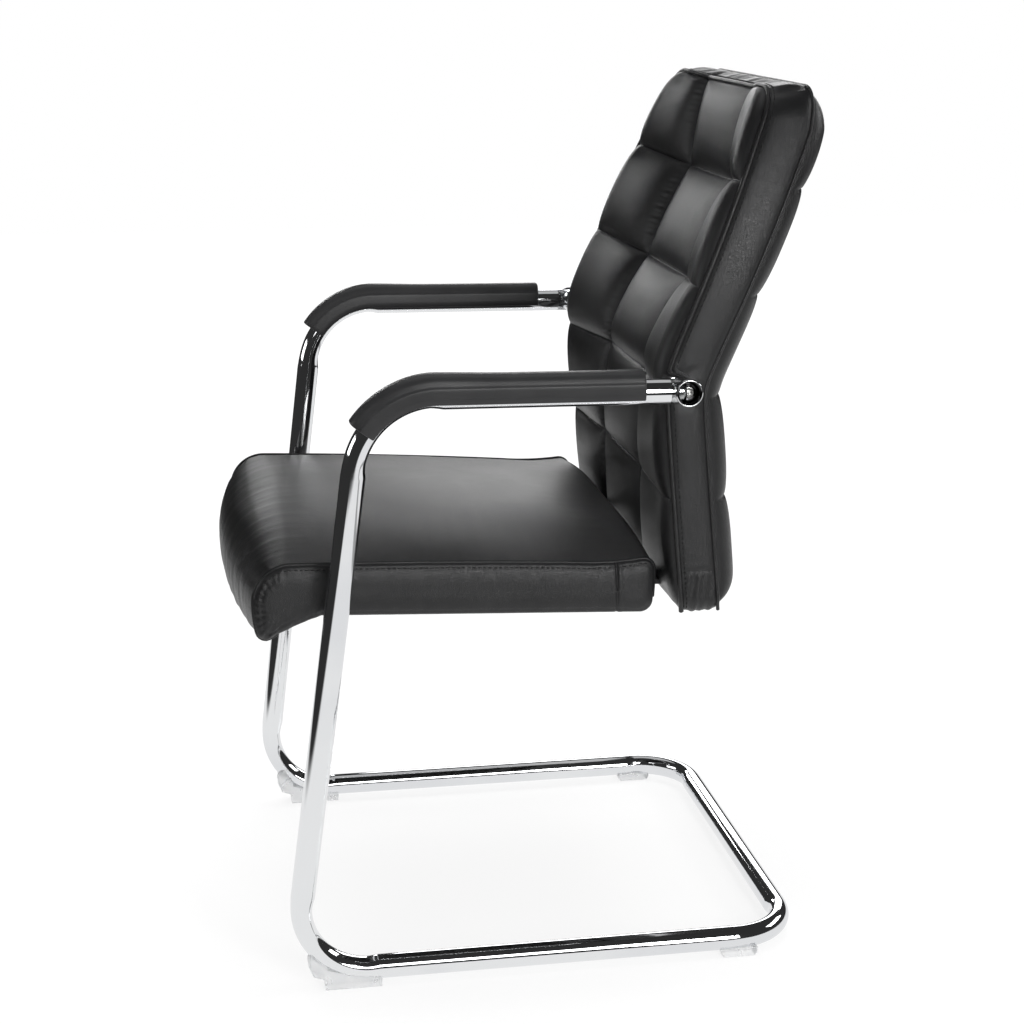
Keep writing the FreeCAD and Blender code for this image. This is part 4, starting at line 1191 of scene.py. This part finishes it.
seamStitches = stitchTree()
stitchRows = {"fromPiping": 5.4, "seatFromPiping": 4.6, "backStep": 3.0, "stand": 0.15, "seatStand": 0.3}
stitchSize = {"Spacing": 0.0054, "Length": 0.0040, "Thickness": 0.0013, "Finish": thread}


def stitched(name, lines, seed):
    # lines are rows of points in mm; one plain mesh of stitches comes out
    edges = []
    at = 0
    for line in lines:
        edges += [(at + i, at + i + 1) for i in range(len(line) - 1)]
        at += len(line)
    guide = rawPiece(name + "Seam", np.vstack(lines), [], edges)
    modifier = guide.modifiers.new("stitches", "NODES")
    modifier.node_group = seamStitches
    sockets = {item.name: item.identifier for item in seamStitches.interface.items_tree}
    for key, value in {**stitchSize, "Seed": seed}.items():
        modifier[sockets[key]] = value
    depsgraph = bpy.context.evaluated_depsgraph_get()
    plain = bpy.data.meshes.new_from_object(guide.evaluated_get(depsgraph))
    bpy.data.objects.remove(guide)
    plain.name = name
    plain.polygons.foreach_set("use_smooth", [True] * len(plain.polygons))
    return settle(linked(name, plain), "black_leatherette")


def makeStitches():
    r = stitchRows
    path = loopWithoutFoot(r["backStep"], 0.0)[1:-1]
    x, z = path.T
    depth = np.linalg.norm(rearEdge(x, z) - frontEdge(x, z), axis=1)
    stitched("backStitches", [borderPoints(x, z, outwards(path), r["fromPiping"] / depth, r["stand"])], 4)
    outline = seatOutline(fine=24)
    upper = outline[(outline[:, 1] > 12) & (outline[:, 0] < seat["rear"] - 8)]
    reach = panelPoints(upper, np.full(len(upper), 0.5))[1] * 2
    line = panelPoints(upper, r["seatFromPiping"] / reach)[0] + (r["seatStand"], 0, 0)
    stitched("seatStitches", [line, line * (-1, 1, 1)], 7)


makeStitches()
print("stitches laid")


# Studio

room = {"floorHalf": 6000.0, "floorLimits": (-2.0, 1.7, -0.85, 3.2), "floorFade": 0.3,
        "stripe": (0.72, 0.92, 0.6), "stripeFade": 0.05, "sheetGlow": 0.88, "shadowReach": (0.9, 1.7),
        "glowShare": 0.72, "glow": 1.1, "ground": 0.8, "skyFill": 0.3, "darkRoom": 0.03}


def rayIs(tree, *kinds):
    # 1 for the named kinds of ray
    ray = addNode(tree, "ShaderNodeLightPath").outputs
    value = ray[kinds[0]]
    for kind in kinds[1:]:
        value = mathNode(tree, "MAXIMUM", value, ray[kind])
    return value


def fadeIn(tree, value, low, high, start=0.0):
    # a smooth rise to 1 between two values
    return addNode(tree, "ShaderNodeMapRange", {"Value": value, "From Min": low, "From Max": high,
                                                "To Min": start}, interpolation_type="SMOOTHSTEP")


def mixed(tree, share, first, second):
    return addNode(tree, "ShaderNodeMixShader", {"Fac": share, 1: first, 2: second})


def whiteGround():
    # white to the camera and to clear plastic; to gloss a white sheet that ends in a dim room;
    # plain pale to the rest, with the chair's soft shadow
    r = room
    material = bpy.data.materials.new("paleGround")
    material.use_nodes = True
    tree = material.node_tree
    tree.nodes.clear()
    place = objectPlace(tree)
    matt = addNode(tree, "ShaderNodeBsdfDiffuse", {"Color": (r["ground"], r["ground"], r["ground"], 1)})
    glow = addNode(tree, "ShaderNodeEmission", {"Strength": r["glow"]})
    far = addNode(tree, "ShaderNodeVectorMath", {0: place}, operation="LENGTH").outputs["Value"]
    white = fadeIn(tree, far, *r["shadowReach"], r["glowShare"])
    seen = mathNode(tree, "MULTIPLY", rayIs(tree, "Is Camera Ray", "Is Transmission Ray"), white)
    axes = addNode(tree, "ShaderNodeSeparateXYZ", {"Vector": place}).outputs
    # painted reflection: a dimmed stripe across the glowing sheet that only gloss sees, which puts a dark line
    # into the chrome
    y2, y3, dimming = r["stripe"]
    fade = r["stripeFade"]
    stripe = mathNode(tree, "MULTIPLY", fadeIn(tree, axes["Y"], y2, y2 + fade), dimming)
    stripe = mathNode(tree, "MULTIPLY", stripe, fadeIn(tree, axes["Y"], y3, y3 - fade))
    sheet = mathNode(tree, "SUBTRACT", 1.0, stripe)
    for axis, end, fade in zip("XXYY", r["floorLimits"], (-r["floorFade"], r["floorFade"]) * 2):
        sheet = mathNode(tree, "MULTIPLY", sheet, fadeIn(tree, axes[axis], end + fade, end))
    shine = addNode(tree, "ShaderNodeMapRange", {"Value": sheet, "To Min": r["darkRoom"],
                                                 "To Max": r["sheetGlow"]})
    mirror = addNode(tree, "ShaderNodeEmission", {"Strength": shine})
    last = mixed(tree, rayIs(tree, "Is Glossy Ray"), mixed(tree, seen, matt, glow), mirror)
    addNode(tree, "ShaderNodeOutputMaterial", {"Surface": last})
    return material


def makeStudio():
    r = room
    size = r["floorHalf"]
    corners = [(-size, -size, 0), (size, -size, 0), (size, size, 0), (-size, size, 0)]
    floor = rawPiece("studioFloor", corners, [(0, 1, 2, 3)])
    floor.data.materials.append(whiteGround())
    world = bpy.data.worlds.new("paleSky")
    bpy.context.scene.world = world
    world.use_nodes = True
    tree = world.node_tree
    fill = tree.nodes["Background"]
    white, dim = (addNode(tree, "ShaderNodeBackground") for _ in range(2))
    for light, strength in ((fill, r["skyFill"]), (white, 1.0), (dim, r["darkRoom"])):
        light.inputs["Color"].default_value = (1, 1, 1, 1)
        light.inputs["Strength"].default_value = strength
    seen = mixed(tree, rayIs(tree, "Is Camera Ray", "Is Transmission Ray"), fill, white)
    last = mixed(tree, rayIs(tree, "Is Glossy Ray"), seen, dim)
    tree.links.new(last.outputs["Shader"], tree.nodes["World Output"].inputs["Surface"])


# Each lamp: its place, its target and its size in m, its power, and whether gloss shows it
lampPlan = {
    "skyPanel": ((-0.3, -0.1, 3.0), (0, 0, 0.4), (2.6, 2.4), 60.0, False),
    "topPanel": ((-1.1, 0.0, 3.0), (0, 0, 0.4), (1.8, 2.2), 6.0, True),
    "backdropPanel": ((-3.4, 1.35, 1.45), (0, 0.3, 0.6), (2.4, 1.1), 27.5, True),
    "rollPanel": ((-3.4, -0.55, 1.35), (0, -0.2, 0.5), (0.6, 0.5), 7.0, True),
    "bandPanel": ((3.0, 1.1, 1.35), (0.24, 0.2, 0.7), (0.7, 1.3), 32.0, True),
    "sidePanel": ((2.6, 0.3, 1.15), (0.2, 0.1, 0.5), (1.0, 0.8), 14.0, True),
    "cameraFill": ((2.6, -2.2, 2.3), (0, 0, 0.5), (1.0, 1.0), 6.0, True),
    "frontPanel": ((-0.7, -3.2, 1.2), (0, 0, 0.6), (1.8, 0.8), 15.0, True),
    "rearPanel": ((-0.4, 3.4, 1.9), (0, 0, 0.6), (2.4, 0.9), 30.0, True),
}


def aimed(holder, place, direction):
    # placed, and turned so that it looks along the direction
    holder.location = place
    holder.rotation_mode = "QUATERNION"
    holder.rotation_quaternion = direction.to_track_quat("-Z", "Y")
    return holder


def makeLamps():
    for name, (place, target, size, power, inGloss) in lampPlan.items():
        lamp = bpy.data.lights.new(name, "AREA")
        lamp.shape = "RECTANGLE"
        lamp.size, lamp.size_y = size
        lamp.energy = power
        holder = aimed(linked(name, lamp), place, Vector(target) - Vector(place))
        holder.visible_glossy = inGloss
        holder.visible_camera = False


viewpoint = {"azimuth": 80.1, "elevation": 15.0, "place": (2.1930, -0.3643, 1.0301), "lens": 72.33,
             "sensor": 36.0}


def makeCamera():
    v = viewpoint
    a, e = math.radians(v["azimuth"]), math.radians(v["elevation"])
    behind = Vector((math.sin(a) * math.cos(e), -math.cos(a) * math.cos(e), math.sin(e)))
    lens = bpy.data.cameras.new("viewCamera")
    lens.lens = v["lens"]
    lens.sensor_width = v["sensor"]
    bpy.context.scene.camera = aimed(linked("viewCamera", lens), v["place"], -behind)


makeStudio()
makeLamps()
makeCamera()
bpy.context.scene.view_settings.view_transform = "Standard"
print("studio set")
